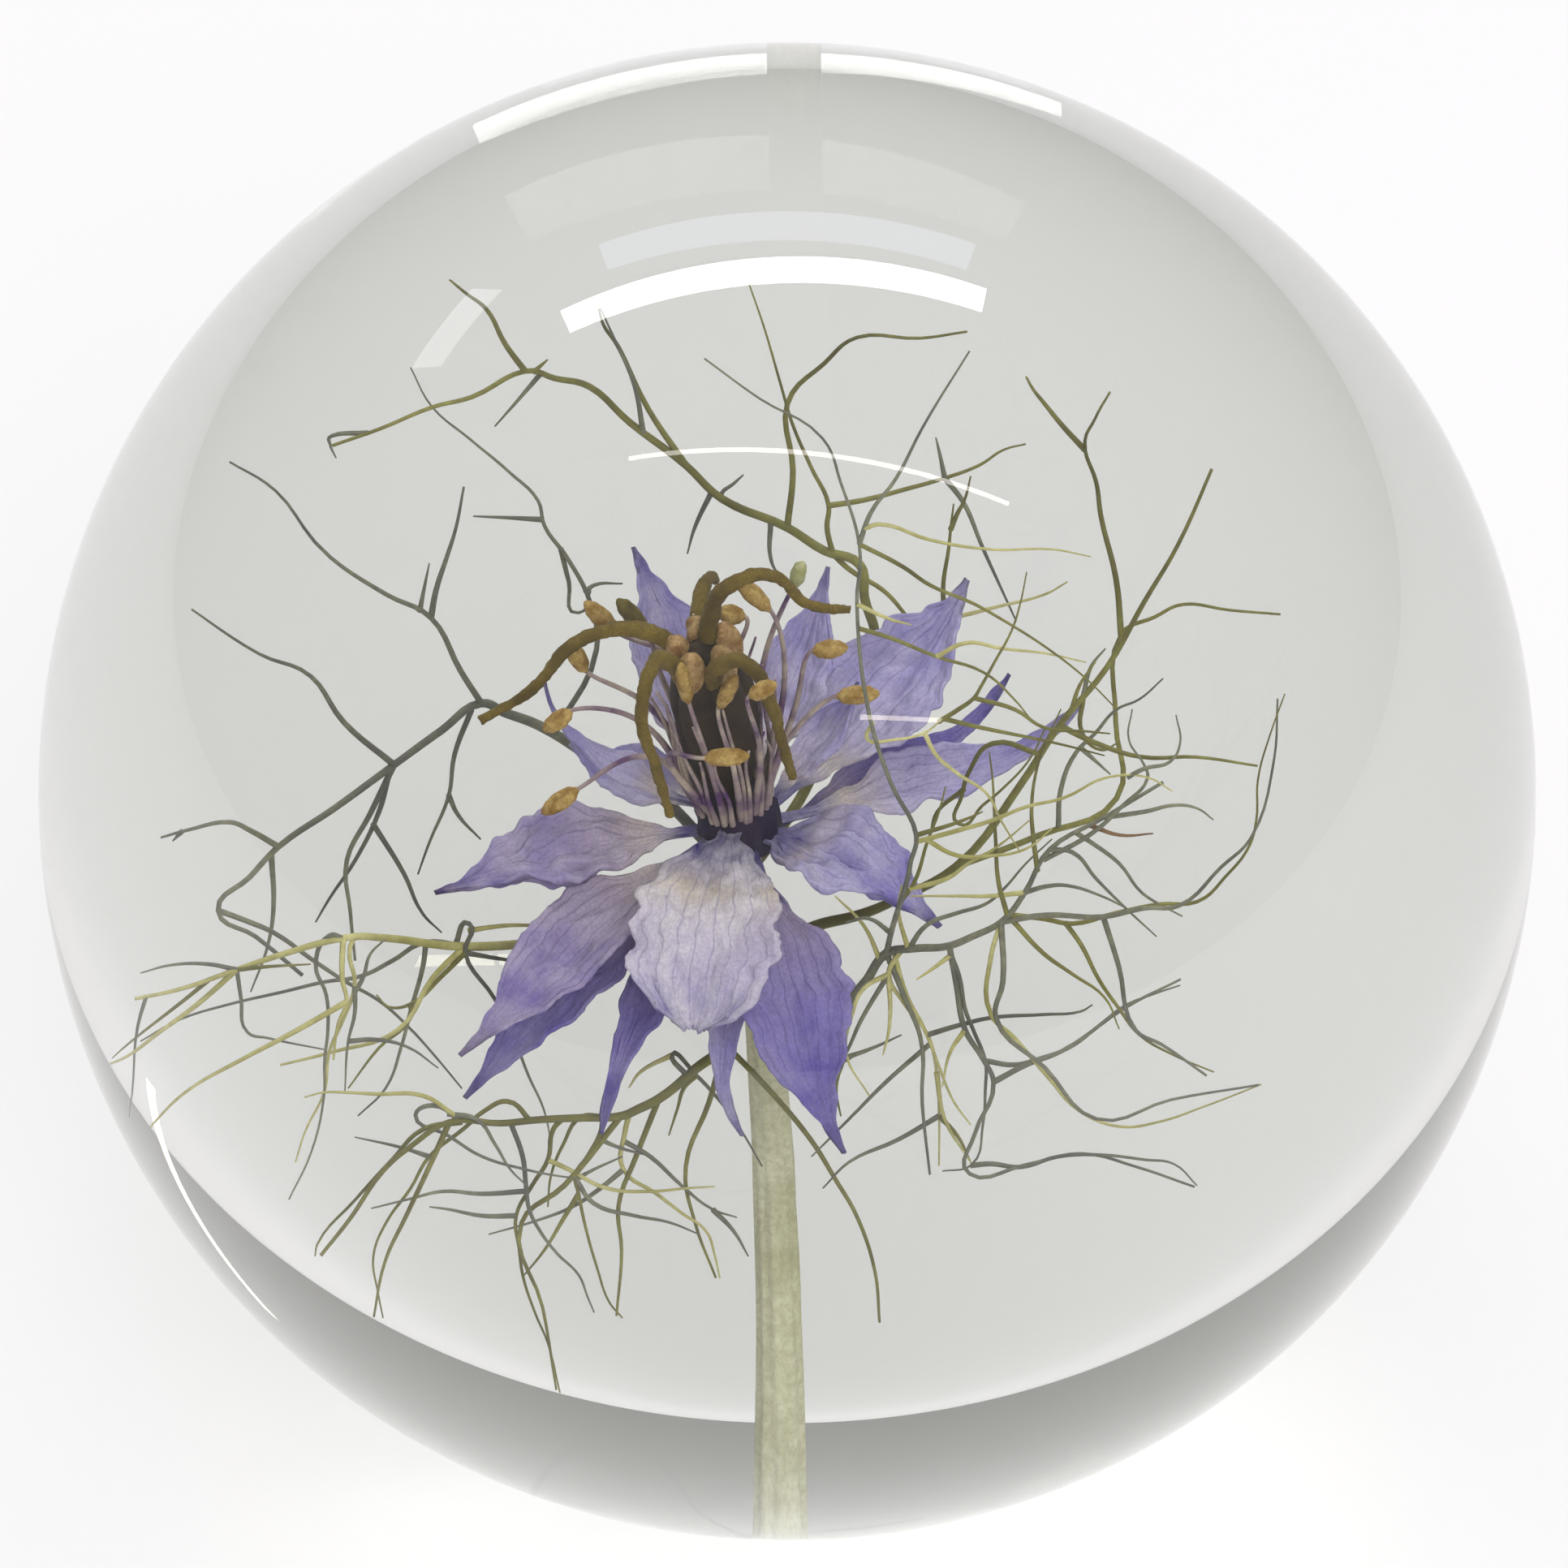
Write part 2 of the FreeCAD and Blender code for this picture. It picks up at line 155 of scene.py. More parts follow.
def dried_fibre_group():
    """Blotches and fine fibre of dried plant matter, on Object coordinates."""
    group, given, result = new_group(
        "dried_fibre",
        [("Blotch Size", "NodeSocketFloat", 3.0), ("Grain Size", "NodeSocketFloat", 0.25),
         ("Relief", "NodeSocketFloat", 0.3)],
        [("Blotch", "NodeSocketFloat"), ("Grain", "NodeSocketFloat"), ("Normal", "NodeSocketVector")])
    place = put(group, "ShaderNodeTexCoord")
    blotch_scale = put(group, "ShaderNodeMath", {0: 1 / MM}, operation="DIVIDE")
    grain_scale = put(group, "ShaderNodeMath", {0: 1 / MM}, operation="DIVIDE")
    blotch = put(group, "ShaderNodeTexNoise", {"Detail": 3.0, "Roughness": 0.6})
    grain = put(group, "ShaderNodeTexNoise", {"Detail": 4.0, "Roughness": 0.7})
    spread = put(group, "ShaderNodeMapRange", {"From Min": 0.34, "From Max": 0.66})
    bump = put(group, "ShaderNodeBump", {"Distance": 0.1 * MM})
    join(group,
         (given.outputs["Blotch Size"], blotch_scale.inputs[1]),
         (given.outputs["Grain Size"], grain_scale.inputs[1]),
         (place.outputs["Object"], blotch.inputs["Vector"]),
         (place.outputs["Object"], grain.inputs["Vector"]),
         (blotch_scale.outputs[0], blotch.inputs["Scale"]),
         (grain_scale.outputs[0], grain.inputs["Scale"]),
         (blotch.outputs["Fac"], spread.inputs["Value"]),
         (spread.outputs["Result"], result.inputs["Blotch"]),
         (grain.outputs["Fac"], result.inputs["Grain"]),
         (grain.outputs["Fac"], bump.inputs["Height"]),
         (given.outputs["Relief"], bump.inputs["Strength"]),
         (bump.outputs["Normal"], result.inputs["Normal"]))
    return group


def sepal_veins_group():
    """Veins that run along a sepal's own UV map, with a fine net between them."""
    group, given, result = new_group(
        "sepal_veins",
        [("Vein Count", "NodeSocketFloat", 7.0), ("Relief", "NodeSocketFloat", 0.5)],
        [("Along", "NodeSocketFloat"), ("Veins", "NodeSocketFloat"), ("Normal", "NodeSocketVector")])
    uv = put(group, "ShaderNodeUVMap", uv_map="UVMap")
    place = put(group, "ShaderNodeTexCoord")
    split = put(group, "ShaderNodeSeparateXYZ")
    wander = put(group, "ShaderNodeTexNoise", {"Scale": 0.5 / MM, "Detail": 2.0})
    sway = put(group, "ShaderNodeMath", {1: 0.06}, operation="MULTIPLY")
    across = put(group, "ShaderNodeMath", operation="ADD")
    counted = put(group, "ShaderNodeMath", operation="MULTIPLY")
    saw = put(group, "ShaderNodeMath", {1: 1.0}, operation="PINGPONG")
    thin = put(group, "ShaderNodeMapRange", {"From Min": 0.0, "From Max": 0.16, "To Min": 1.0, "To Max": 0.0})
    stretch = put(group, "ShaderNodeMapping", {"Scale": (6.0, 22.0, 1.0)})
    net = put(group, "ShaderNodeTexVoronoi", {"Scale": 1.0, "Randomness": 0.9}, feature="DISTANCE_TO_EDGE")
    net_thin = put(group, "ShaderNodeMapRange",
                   {"From Min": 0.0, "From Max": 0.05, "To Min": 0.4, "To Max": 0.0})
    either = put(group, "ShaderNodeMath", operation="MAXIMUM")
    bump = put(group, "ShaderNodeBump", {"Distance": 0.12 * MM}, invert=True)
    join(group,
         (uv.outputs["UV"], split.inputs["Vector"]),
         (place.outputs["Object"], wander.inputs["Vector"]),
         (wander.outputs["Fac"], sway.inputs[0]),
         (split.outputs["Y"], across.inputs[0]),
         (sway.outputs[0], across.inputs[1]),
         (across.outputs[0], counted.inputs[0]),
         (given.outputs["Vein Count"], counted.inputs[1]),
         (counted.outputs[0], saw.inputs[0]),
         (saw.outputs[0], thin.inputs["Value"]),
         (uv.outputs["UV"], stretch.inputs["Vector"]),
         (stretch.outputs["Vector"], net.inputs["Vector"]),
         (net.outputs["Distance"], net_thin.inputs["Value"]),
         (thin.outputs["Result"], either.inputs[0]),
         (net_thin.outputs["Result"], either.inputs[1]),
         (either.outputs[0], bump.inputs["Height"]),
         (given.outputs["Relief"], bump.inputs["Strength"]),
         (split.outputs["X"], result.inputs["Along"]),
         (either.outputs[0], result.inputs["Veins"]),
         (bump.outputs["Normal"], result.inputs["Normal"]))
    return group


# Materials
RESIN_SHADOW = (0.9, 0.92, 0.9, 1)
RESIN_TINT = srgb(215, 217, 208)
RESIN_DENSITY = 7.0


def resin_material():
    """Clear cast resin with a faint grey-green body."""
    material, tree, shader = new_material("cast_resin")
    shader.inputs["Base Color"].default_value = (1, 1, 1, 1)
    shader.inputs["Roughness"].default_value = 0.0
    shader.inputs["IOR"].default_value = RESIN_INDEX
    shader.inputs["Transmission Weight"].default_value = 1.0
    output = tree.nodes["Material Output"]
    path = put(tree, "ShaderNodeLightPath")
    clear = put(tree, "ShaderNodeBsdfTransparent", {"Color": RESIN_SHADOW})
    choice = put(tree, "ShaderNodeMixShader")
    body = put(tree, "ShaderNodeVolumeAbsorption", {"Color": RESIN_TINT, "Density": RESIN_DENSITY})
    join(tree,
         (path.outputs["Is Shadow Ray"], choice.inputs["Fac"]),
         (shader.outputs["BSDF"], choice.inputs[1]),
         (clear.outputs["BSDF"], choice.inputs[2]),
         (choice.outputs["Shader"], output.inputs["Surface"]),
         (body.outputs["Volume"], output.inputs["Volume"]))
    return material


# The dried sepals: what their grain multiplies the colour by, and the light they let through
GRAIN_SHADE = (0.55, 0.53, 0.64, 1)
GRAIN_LIGHT = (1.42, 1.42, 1.36, 1)
LIGHT_THROUGH = 0.42
INDIGO = srgb(44, 28, 120)
DEEP = srgb(62, 46, 140)
CREAM = srgb(226, 216, 200)

# Each finish of a sepal: its colours from claw to tip, the colour and share of its veins,
# and the colour and share of its blotches
SEPAL_FINISHES = {
    "pale": (
        [(0.0, INDIGO), (0.26, DEEP), (0.36, srgb(176, 164, 178)), (0.46, CREAM),
         (0.62, srgb(228, 220, 234)), (0.88, srgb(210, 202, 232)), (1.0, srgb(160, 148, 208))],
        srgb(136, 118, 176), 0.42, srgb(252, 248, 252), 0.8),
    "lilac": (
        [(0.0, INDIGO), (0.15, DEEP), (0.25, CREAM), (0.40, srgb(204, 196, 226)),
         (0.66, srgb(180, 172, 222)), (0.9, srgb(146, 136, 210)), (1.0, srgb(92, 78, 164))],
        srgb(104, 90, 156), 0.42, srgb(228, 222, 238), 0.6),
    "violet": (
        [(0.0, INDIGO), (0.16, DEEP), (0.28, srgb(184, 172, 190)), (0.45, srgb(170, 158, 208)),
         (0.7, srgb(140, 128, 204)), (0.9, srgb(112, 98, 188)), (1.0, srgb(76, 62, 150))],
        srgb(84, 68, 150), 0.42, srgb(190, 180, 220), 0.6),
    "pale_violet": (
        [(0.0, INDIGO), (0.17, DEEP), (0.26, srgb(190, 178, 190)), (0.40, srgb(188, 180, 222)),
         (0.65, srgb(178, 170, 222)), (0.88, srgb(124, 110, 204)), (1.0, srgb(70, 58, 150))],
        srgb(100, 86, 166), 0.4, srgb(224, 218, 240), 0.7),
    "mauve": (
        [(0.0, INDIGO), (0.12, DEEP), (0.22, CREAM), (0.38, srgb(190, 176, 200)),
         (0.6, srgb(164, 150, 202)), (0.85, srgb(150, 136, 204)), (1.0, srgb(104, 84, 140))],
        srgb(104, 82, 132), 0.45, srgb(218, 208, 226), 0.65),
}

# Each finish of the other dried parts: its dark and its light colour, the colour of its
# grain, the sizes of its blotches and grain in millimetres, and its relief
PLANT_FINISHES = {
    "dried_stalk": (srgb(196, 194, 158), srgb(234, 232, 204), srgb(168, 164, 116), 2.4, 0.22, 0.7),
    "flower_base": (srgb(24, 14, 52), srgb(48, 34, 56), srgb(24, 14, 52), 1.2, 0.2, 0.5),
    "capsule_skin": (srgb(38, 26, 14), srgb(70, 52, 30), srgb(38, 26, 14), 1.5, 0.2, 0.6),
    "capsule_crown": (srgb(140, 102, 56), srgb(210, 180, 130), srgb(112, 76, 34), 0.7, 0.15, 0.8),
    "style_skin": (srgb(92, 76, 24), srgb(146, 124, 52), srgb(70, 52, 16), 2.0, 0.09, 1.0),
    "filament_skin": (srgb(84, 50, 104), srgb(206, 192, 170), srgb(128, 98, 120), 1.6, 0.2, 0.3),
    "anther_tan": (srgb(144, 108, 46), srgb(206, 176, 108), srgb(128, 92, 38), 0.5, 0.12, 0.8),
    "anther_dark": (srgb(80, 70, 34), srgb(120, 106, 58), srgb(80, 70, 34), 0.7, 0.12, 0.6),
    "anther_pale": (srgb(160, 160, 110), srgb(200, 200, 160), srgb(160, 160, 110), 0.7, 0.12, 0.6),
    "thread_olive": (srgb(92, 92, 46), srgb(150, 148, 84), srgb(96, 84, 60), 4.0, 0.4, 0.4),
    "thread_straw": (srgb(160, 156, 92), srgb(214, 208, 150), srgb(140, 132, 80), 4.0, 0.4, 0.4),
    "thread_grey": (srgb(96, 98, 88), srgb(142, 142, 118), srgb(84, 80, 84), 4.0, 0.4, 0.4),
    "thread_brown": (srgb(104, 78, 58), srgb(140, 112, 84), srgb(104, 78, 58), 3.0, 0.4, 0.4),
}


def sepal_material(name, fibre, veins, colours, vein_colour, vein_share, blotch_colour, blotch_share):
    """A dried sepal: colours along its length, darker veins, pale blotches, and light that
    comes through the thin blade."""
    material, tree, shader = new_material(name)
    dried = use_group(tree, fibre, {"Blotch Size": 1.7, "Grain Size": 0.13, "Relief": 0.5})
    lines = use_group(tree, veins, {"Vein Count": 17.0, "Relief": 0.24})
    body = ramp(tree, lines.outputs["Along"], colours)
    blotch = put(tree, "ShaderNodeMath", {1: blotch_share}, operation="MULTIPLY")
    line = put(tree, "ShaderNodeMath", {1: vein_share}, operation="MULTIPLY")
    join(tree, (dried.outputs["Blotch"], blotch.inputs[0]), (lines.outputs["Veins"], line.inputs[0]))
    blotched = mix_colour(tree, blotch.outputs[0], body, blotch_colour)
    veined = mix_colour(tree, line.outputs[0], blotched, vein_colour)
    fine = mix_colour(tree, dried.outputs["Grain"], GRAIN_SHADE, GRAIN_LIGHT)
    tinted = put(tree, "ShaderNodeMix", {0: 1.0}, data_type="RGBA", blend_type="MULTIPLY")
    thin = put(tree, "ShaderNodeBsdfTranslucent")
    blend = put(tree, "ShaderNodeMixShader", {"Fac": LIGHT_THROUGH})
    shader.inputs["Roughness"].default_value = 0.55
    shader.inputs["Sheen Weight"].default_value = 0.15
    shader.inputs["Specular IOR Level"].default_value = 0.3
    join(tree,
         (veined, tinted.inputs[6]), (fine, tinted.inputs[7]),
         (tinted.outputs[2], shader.inputs["Base Color"]),
         (tinted.outputs[2], thin.inputs["Color"]),
         (lines.outputs["Normal"], shader.inputs["Normal"]),
         (shader.outputs["BSDF"], blend.inputs[1]),
         (thin.outputs["BSDF"], blend.inputs[2]),
         (blend.outputs["Shader"], tree.nodes["Material Output"].inputs["Surface"]))
    return material


def plant_material(name, fibre, dark, light, grain_colour, blotch_size, grain_size, relief):
    """Dried plant matter that varies from dark to light in blotches, with a fine grain."""
    material, tree, shader = new_material(name)
    dried = use_group(tree, fibre, {"Blotch Size": blotch_size, "Grain Size": grain_size, "Relief": relief})
    body = mix_colour(tree, dried.outputs["Blotch"], dark, light)
    contrast = put(tree, "ShaderNodeMapRange", {"From Min": 0.38, "From Max": 0.62})
    join(tree, (dried.outputs["Grain"], contrast.inputs["Value"]))
    share = put(tree, "ShaderNodeMath", {1: 0.45}, operation="MULTIPLY")
    join(tree, (contrast.outputs["Result"], share.inputs[0]))
    grained = mix_colour(tree, share.outputs[0], body, grain_colour)
    shader.inputs["Roughness"].default_value = 0.6
    shader.inputs["Specular IOR Level"].default_value = 0.3
    join(tree, (grained, shader.inputs["Base Color"]), (dried.outputs["Normal"], shader.inputs["Normal"]))
    return material


def stage_material(name, colour):
    material, _, shader = new_material(name)
    shader.inputs["Base Color"].default_value = colour
    shader.inputs["Roughness"].default_value = 0.9
    shader.inputs["Specular IOR Level"].default_value = 0.1
    return material


# Small helpers for meshes
def only(obj):
    """Selects one object and makes it the active one."""
    bpy.ops.object.select_all(action="DESELECT")
    obj.select_set(True)
    bpy.context.view_layer.objects.active = obj


def settle(obj):
    """Puts an object's place, turn and size into its mesh."""
    only(obj)
    bpy.ops.object.transform_apply(location=True, rotation=True, scale=True)
    return obj


def tidy_normals(obj):
    only(obj)
    bpy.ops.object.mode_set(mode="EDIT")
    bpy.ops.mesh.select_all(action="SELECT")
    bpy.ops.mesh.normals_make_consistent(inside=False)
    bpy.ops.object.mode_set(mode="OBJECT")


def finish_piece(obj, name, slot, *nodes):
    """Names a piece, lets it ride on the casting, and hides the nodes that it stands for."""
    obj.name = name
    obj.data.name = name
    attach(obj, "root")
    if nodes:
        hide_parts(*nodes)
    return obj


def metres(point):
    return Vector(point) * MM


def tube(routes, sides=8, steps=5):
    """Round tapering strands as one mesh. Each route is (points, radii), in millimetres."""
    curve = bpy.data.curves.new("strand", "CURVE")
    curve.dimensions = "3D"
    curve.bevel_depth = MM
    curve.bevel_resolution = sides // 2 - 2
    curve.resolution_u = steps
    curve.use_fill_caps = True
    for points, radii in routes:
        spline = curve.splines.new("BEZIER")
        spline.bezier_points.add(len(points) - 1)
        for knot, point, radius in zip(spline.bezier_points, points, radii):
            knot.co = metres(point)
            knot.radius = radius
            knot.handle_left_type = knot.handle_right_type = "AUTO"
    obj = bpy.data.objects.new("strand", curve)
    bpy.context.scene.collection.objects.link(obj)
    only(obj)
    bpy.ops.object.convert(target="MESH")
    obj = bpy.context.object
    bpy.ops.object.shade_smooth()
    return obj


def taper(first, last, count):
    return [first + (last - first) * step / (count - 1) for step in range(count)]


def lathe(profile, sides, rows, place, shape=None):
    """A closed spindle from a UV sphere: profile(share) gives its radius along the axis
    and shape(angle, share) a factor round it. place turns it from its own axis."""
    bpy.ops.object.select_all(action="DESELECT")
    bpy.ops.mesh.primitive_uv_sphere_add(segments=sides, ring_count=rows, radius=1.0)
    obj = bpy.context.object
    for vertex in obj.data.vertices:
        share = math.acos(max(-1, min(1, -vertex.co.z))) / math.pi
        angle = math.atan2(vertex.co.y, vertex.co.x)
        on_axis = math.hypot(vertex.co.x, vertex.co.y) < 1e-4
        radius = 0 if on_axis else profile(share) * (shape(angle, share) if shape else 1)
        spot = Vector((radius * math.cos(angle), radius * math.sin(angle), share))
        vertex.co = metres(place(spot))
    tidy_normals(obj)
    bpy.ops.object.shade_smooth()
    return obj


def steps_through(table, share):
    """A smooth value between (share, value) stops."""
    for (low, first), (high, last) in zip(table, table[1:]):
        if share <= high:
            part = (share - low) / (high - low)
            part = part * part * (3 - 2 * part)
            return first + (last - first) * part
    return table[-1][1]


def between(start, end):
    """A frame from start to end: a function from (across, up, share) to a point."""
    start, end = Vector(start), Vector(end)
    axis = (end - start).normalized()
    side = axis.cross(Vector((0.2, 0.9, 0.4))).normalized()
    up = side.cross(axis)
    return lambda spot: start + (end - start) * spot.z + side * spot.x + up * spot.y


def from_neck(point):
    """A point given from the top of the stem, in the casting's own frame."""
    return NECK + Vector(point)


def sight_line(across, down):
    """Where the camera's line through a pixel of the photograph enters the ball, and the
    way that it takes on through the resin."""
    centre = Vector((0, 0, BALL_CENTRE_HEIGHT))
    forward = Vector((0, math.cos(CAMERA_ELEVATION), -math.sin(CAMERA_ELEVATION)))
    upward = Vector((0, math.sin(CAMERA_ELEVATION), math.cos(CAMERA_ELEVATION)))
    focal = PHOTO_SIZE * CAMERA_LENS / CAMERA_SENSOR
    right = (across - PHOTO_SIZE / 2 + BALL_LEFT_OF_MIDDLE) / focal
    rise = (PHOTO_SIZE / 2 + BALL_BELOW_MIDDLE - down) / focal
    way = (forward + Vector((right, 0, 0)) + upward * rise).normalized()
    eye = -forward * CAMERA_DISTANCE
    near = -eye.dot(way)
    entry = eye + way * (near - math.sqrt(near ** 2 - eye.length_squared + BALL_RADIUS ** 2))
    normal = entry.normalized()
    facing = -way.dot(normal)
    bent = math.sqrt(1 - (1 - facing ** 2) / RESIN_INDEX ** 2)
    inner = way / RESIN_INDEX + normal * (facing / RESIN_INDEX - bent)
    return centre + entry, inner


def seen_at(pixel, depth):
    """The point in the ball that shows at a pixel of the photograph, at depth Y."""
    entry, way = sight_line(*pixel)
    return entry + way * ((depth - entry.y) / way.y)


def join_pieces(pieces):
    bpy.ops.object.select_all(action="DESELECT")
    for piece in pieces:
        piece.select_set(True)
    bpy.context.view_layer.objects.active = pieces[0]
    bpy.ops.object.join()
    return bpy.context.object


def clothe(obj, material):
    obj.data.materials.clear()
    obj.data.materials.append(material)
    return obj


def flower_axis():
    return Vector((-math.tan(LEAN_LEFT), -math.tan(LEAN_FRONT), 1)).normalized()


def flower_point(radius, angle, height):
    """A point round the flower's own axis, above the top of the stem."""
    axis = flower_axis()
    right = Vector((0, 1, 0)).cross(axis).normalized()
    front = right.cross(axis).normalized()
    return NECK + axis * height + right * (radius * math.sin(angle)) + front * (radius * math.cos(angle))


# The resin ball
def make_ball(material):
    """The ball: a sphere cut flat at its base, with a small bevel round the cut."""
    bpy.ops.object.select_all(action="DESELECT")
    bpy.ops.mesh.primitive_uv_sphere_add(segments=256, ring_count=128, radius=BALL_RADIUS * MM,
                                         location=(0, 0, BALL_CENTRE_HEIGHT * MM))
    ball = settle(bpy.context.object)
    bpy.ops.object.mode_set(mode="EDIT")
    bpy.ops.mesh.select_all(action="SELECT")
    bpy.ops.mesh.bisect(plane_co=(0, 0, 0), plane_no=(0, 0, 1), use_fill=True, clear_inner=True)
    bpy.ops.object.mode_set(mode="OBJECT")
    for edge in ball.data.edges:
        low = [ball.data.vertices[i].co for i in edge.vertices]
        edge.select = all(abs(p.z) < 1e-6 for p in low)
    for vertex in ball.data.vertices:
        vertex.select = abs(vertex.co.z) < 1e-6
    for face in ball.data.polygons:
        face.select = False
    bpy.ops.object.mode_set(mode="EDIT")
    bpy.ops.mesh.select_mode(type="EDGE")
    bpy.ops.mesh.bevel(offset=BASE_BEVEL * MM, segments=3)
    bpy.ops.mesh.select_mode(type="VERT")
    bpy.ops.object.mode_set(mode="OBJECT")
    bpy.ops.object.shade_smooth_by_angle(angle=math.radians(30))
    clothe(ball, material)
    return finish_piece(ball, "resin_ball", "resin", "resin_dome")


# Sepals
# The outlines of sepals: (share of the length, share of the full half width)
POINTED = [(0.0, 0.13), (0.14, 0.12), (0.26, 0.36), (0.38, 0.80), (0.50, 1.0), (0.62, 0.94),
           (0.74, 0.68), (0.85, 0.32), (0.93, 0.12), (1.0, 0.03)]
BLUNT = [(0.0, 0.14), (0.10, 0.15), (0.24, 0.42), (0.40, 0.80), (0.58, 1.0), (0.80, 1.0),
         (0.92, 0.88), (0.97, 0.62), (1.0, 0.22)]
ROUND = [(0.0, 0.14), (0.10, 0.26), (0.22, 0.78), (0.38, 1.0), (0.55, 0.96), (0.70, 0.72),
         (0.82, 0.38), (0.92, 0.15), (1.0, 0.05)]
DRAWN_OUT = [(0.0, 0.14), (0.14, 0.14), (0.28, 0.52), (0.42, 1.0), (0.56, 0.86), (0.68, 0.52),
             (0.80, 0.28), (0.92, 0.18), (1.0, 0.04)]
SEPAL_OUTLINES = {"sepal_front": BLUNT, "sepal_right_front": ROUND, "sepal_right_long": DRAWN_OUT,
                  "sepal_left_curled": DRAWN_OUT, "sepal_back_slim": DRAWN_OUT,
                  "sepal_front_narrow": DRAWN_OUT, "sepal_left_narrow": DRAWN_OUT}
TIERS = {"low": 0.6, "middle": 1.3, "high": 2.0}
CLAW_SINK = 0.6
SEPAL_THICKNESS = 0.13
TIP_FROM = 0.72             # share of the length from which the tip curls
RAGGED_FROM = 0.7           # share of a blunt sepal's length from which its end is ragged
RAGGED_DEPTH = 0.735
SEPAL_STEPS = 84
SEPAL_STRIPS = 30

# Each sepal: azimuth from the front towards +X and rise in degrees, length, full width,
# arch of its midrib, depth of its fold, tier, how far its tip curls and sways, its twist
# in degrees, its crumple, and its finish
SEPALS = {
    "sepal_front": (-11, -14, 9.3, 5.5, 1.2, 0.7, "high", -1.1, 0.0, 0, 0.48, "pale"),
    "sepal_right_low": (15, -29, 13.3, 4.2, 1.2, 0.7, "middle", -0.4, 0.9, 10, 0.35, "violet"),
    "sepal_left_long": (-50, -18, 13.8, 3.6, 0.9, 0.6, "middle", -0.2, -0.6, -12, 0.35, "mauve"),
    "sepal_left_low": (-58, -32, 13.5, 3.9, 0.8, 0.5, "low", -0.2, -0.5, 8, 0.35, "violet"),
    "sepal_left_narrow": (-32, -33, 12.3, 2.2, 0.8, 0.4, "low", 0.3, 0.4, 0, 0.25, "violet"),
    "sepal_front_narrow": (-6, -33, 11.6, 1.8, 0.6, 0.4, "low", 0.6, 1.0, 0, 0.25, "lilac"),
    "sepal_left": (-79, -8, 11.1, 4.4, 0.4, 0.7, "middle", -0.5, -0.8, 15, 0.6, "mauve"),
    "sepal_left_curled": (-107, 25, 8.5, 1.7, -0.9, 0.3, "high", 1.2, 0.4, 30, 0.2, "lilac"),
    "sepal_back_left": (-128, -5, 7.4, 3.2, 0.2, 0.5, "middle", 0.6, 0.0, 0, 0.3, "lilac"),
    "sepal_tall_left": (-160, 25, 10.5, 3.6, -0.9, 0.7, "high", 0.5, 0.4, 20, 0.3, "lilac"),
    "sepal_tall_right": (157, 28, 9.6, 2.8, -0.8, 0.5, "high", 0.4, 0.0, -10, 0.3, "lilac"),
    "sepal_back_broad": (134, 20, 12.2, 4.6, -0.6, 0.8, "middle", 0.3, 0.3, 15, 0.5, "lilac"),
    "sepal_back_slim": (124, 5, 11.6, 2.2, -0.3, 0.4, "low", 0.8, 0.5, 0, 0.3, "violet"),
    "sepal_right_long": (105, 8, 12.9, 3.0, -0.5, 0.6, "middle", 0.9, 0.3, 20, 0.3, "lilac"),
    "sepal_right_front": (56, -3, 8.4, 4.4, 0.5, 0.8, "middle", -0.9, 0.6, -12, 0.6, "pale_violet"),
    "sepal_right_upright": (112, 42, 6.6, 2.2, -0.4, 0.5, "high", 0.3, 0.0, 0, 0.25, "lilac"),
    "sepal_back": (-176, 8, 7.7, 2.8, -0.2, 0.5, "low", 0.5, 0.0, 0, 0.3, "lilac"),
}


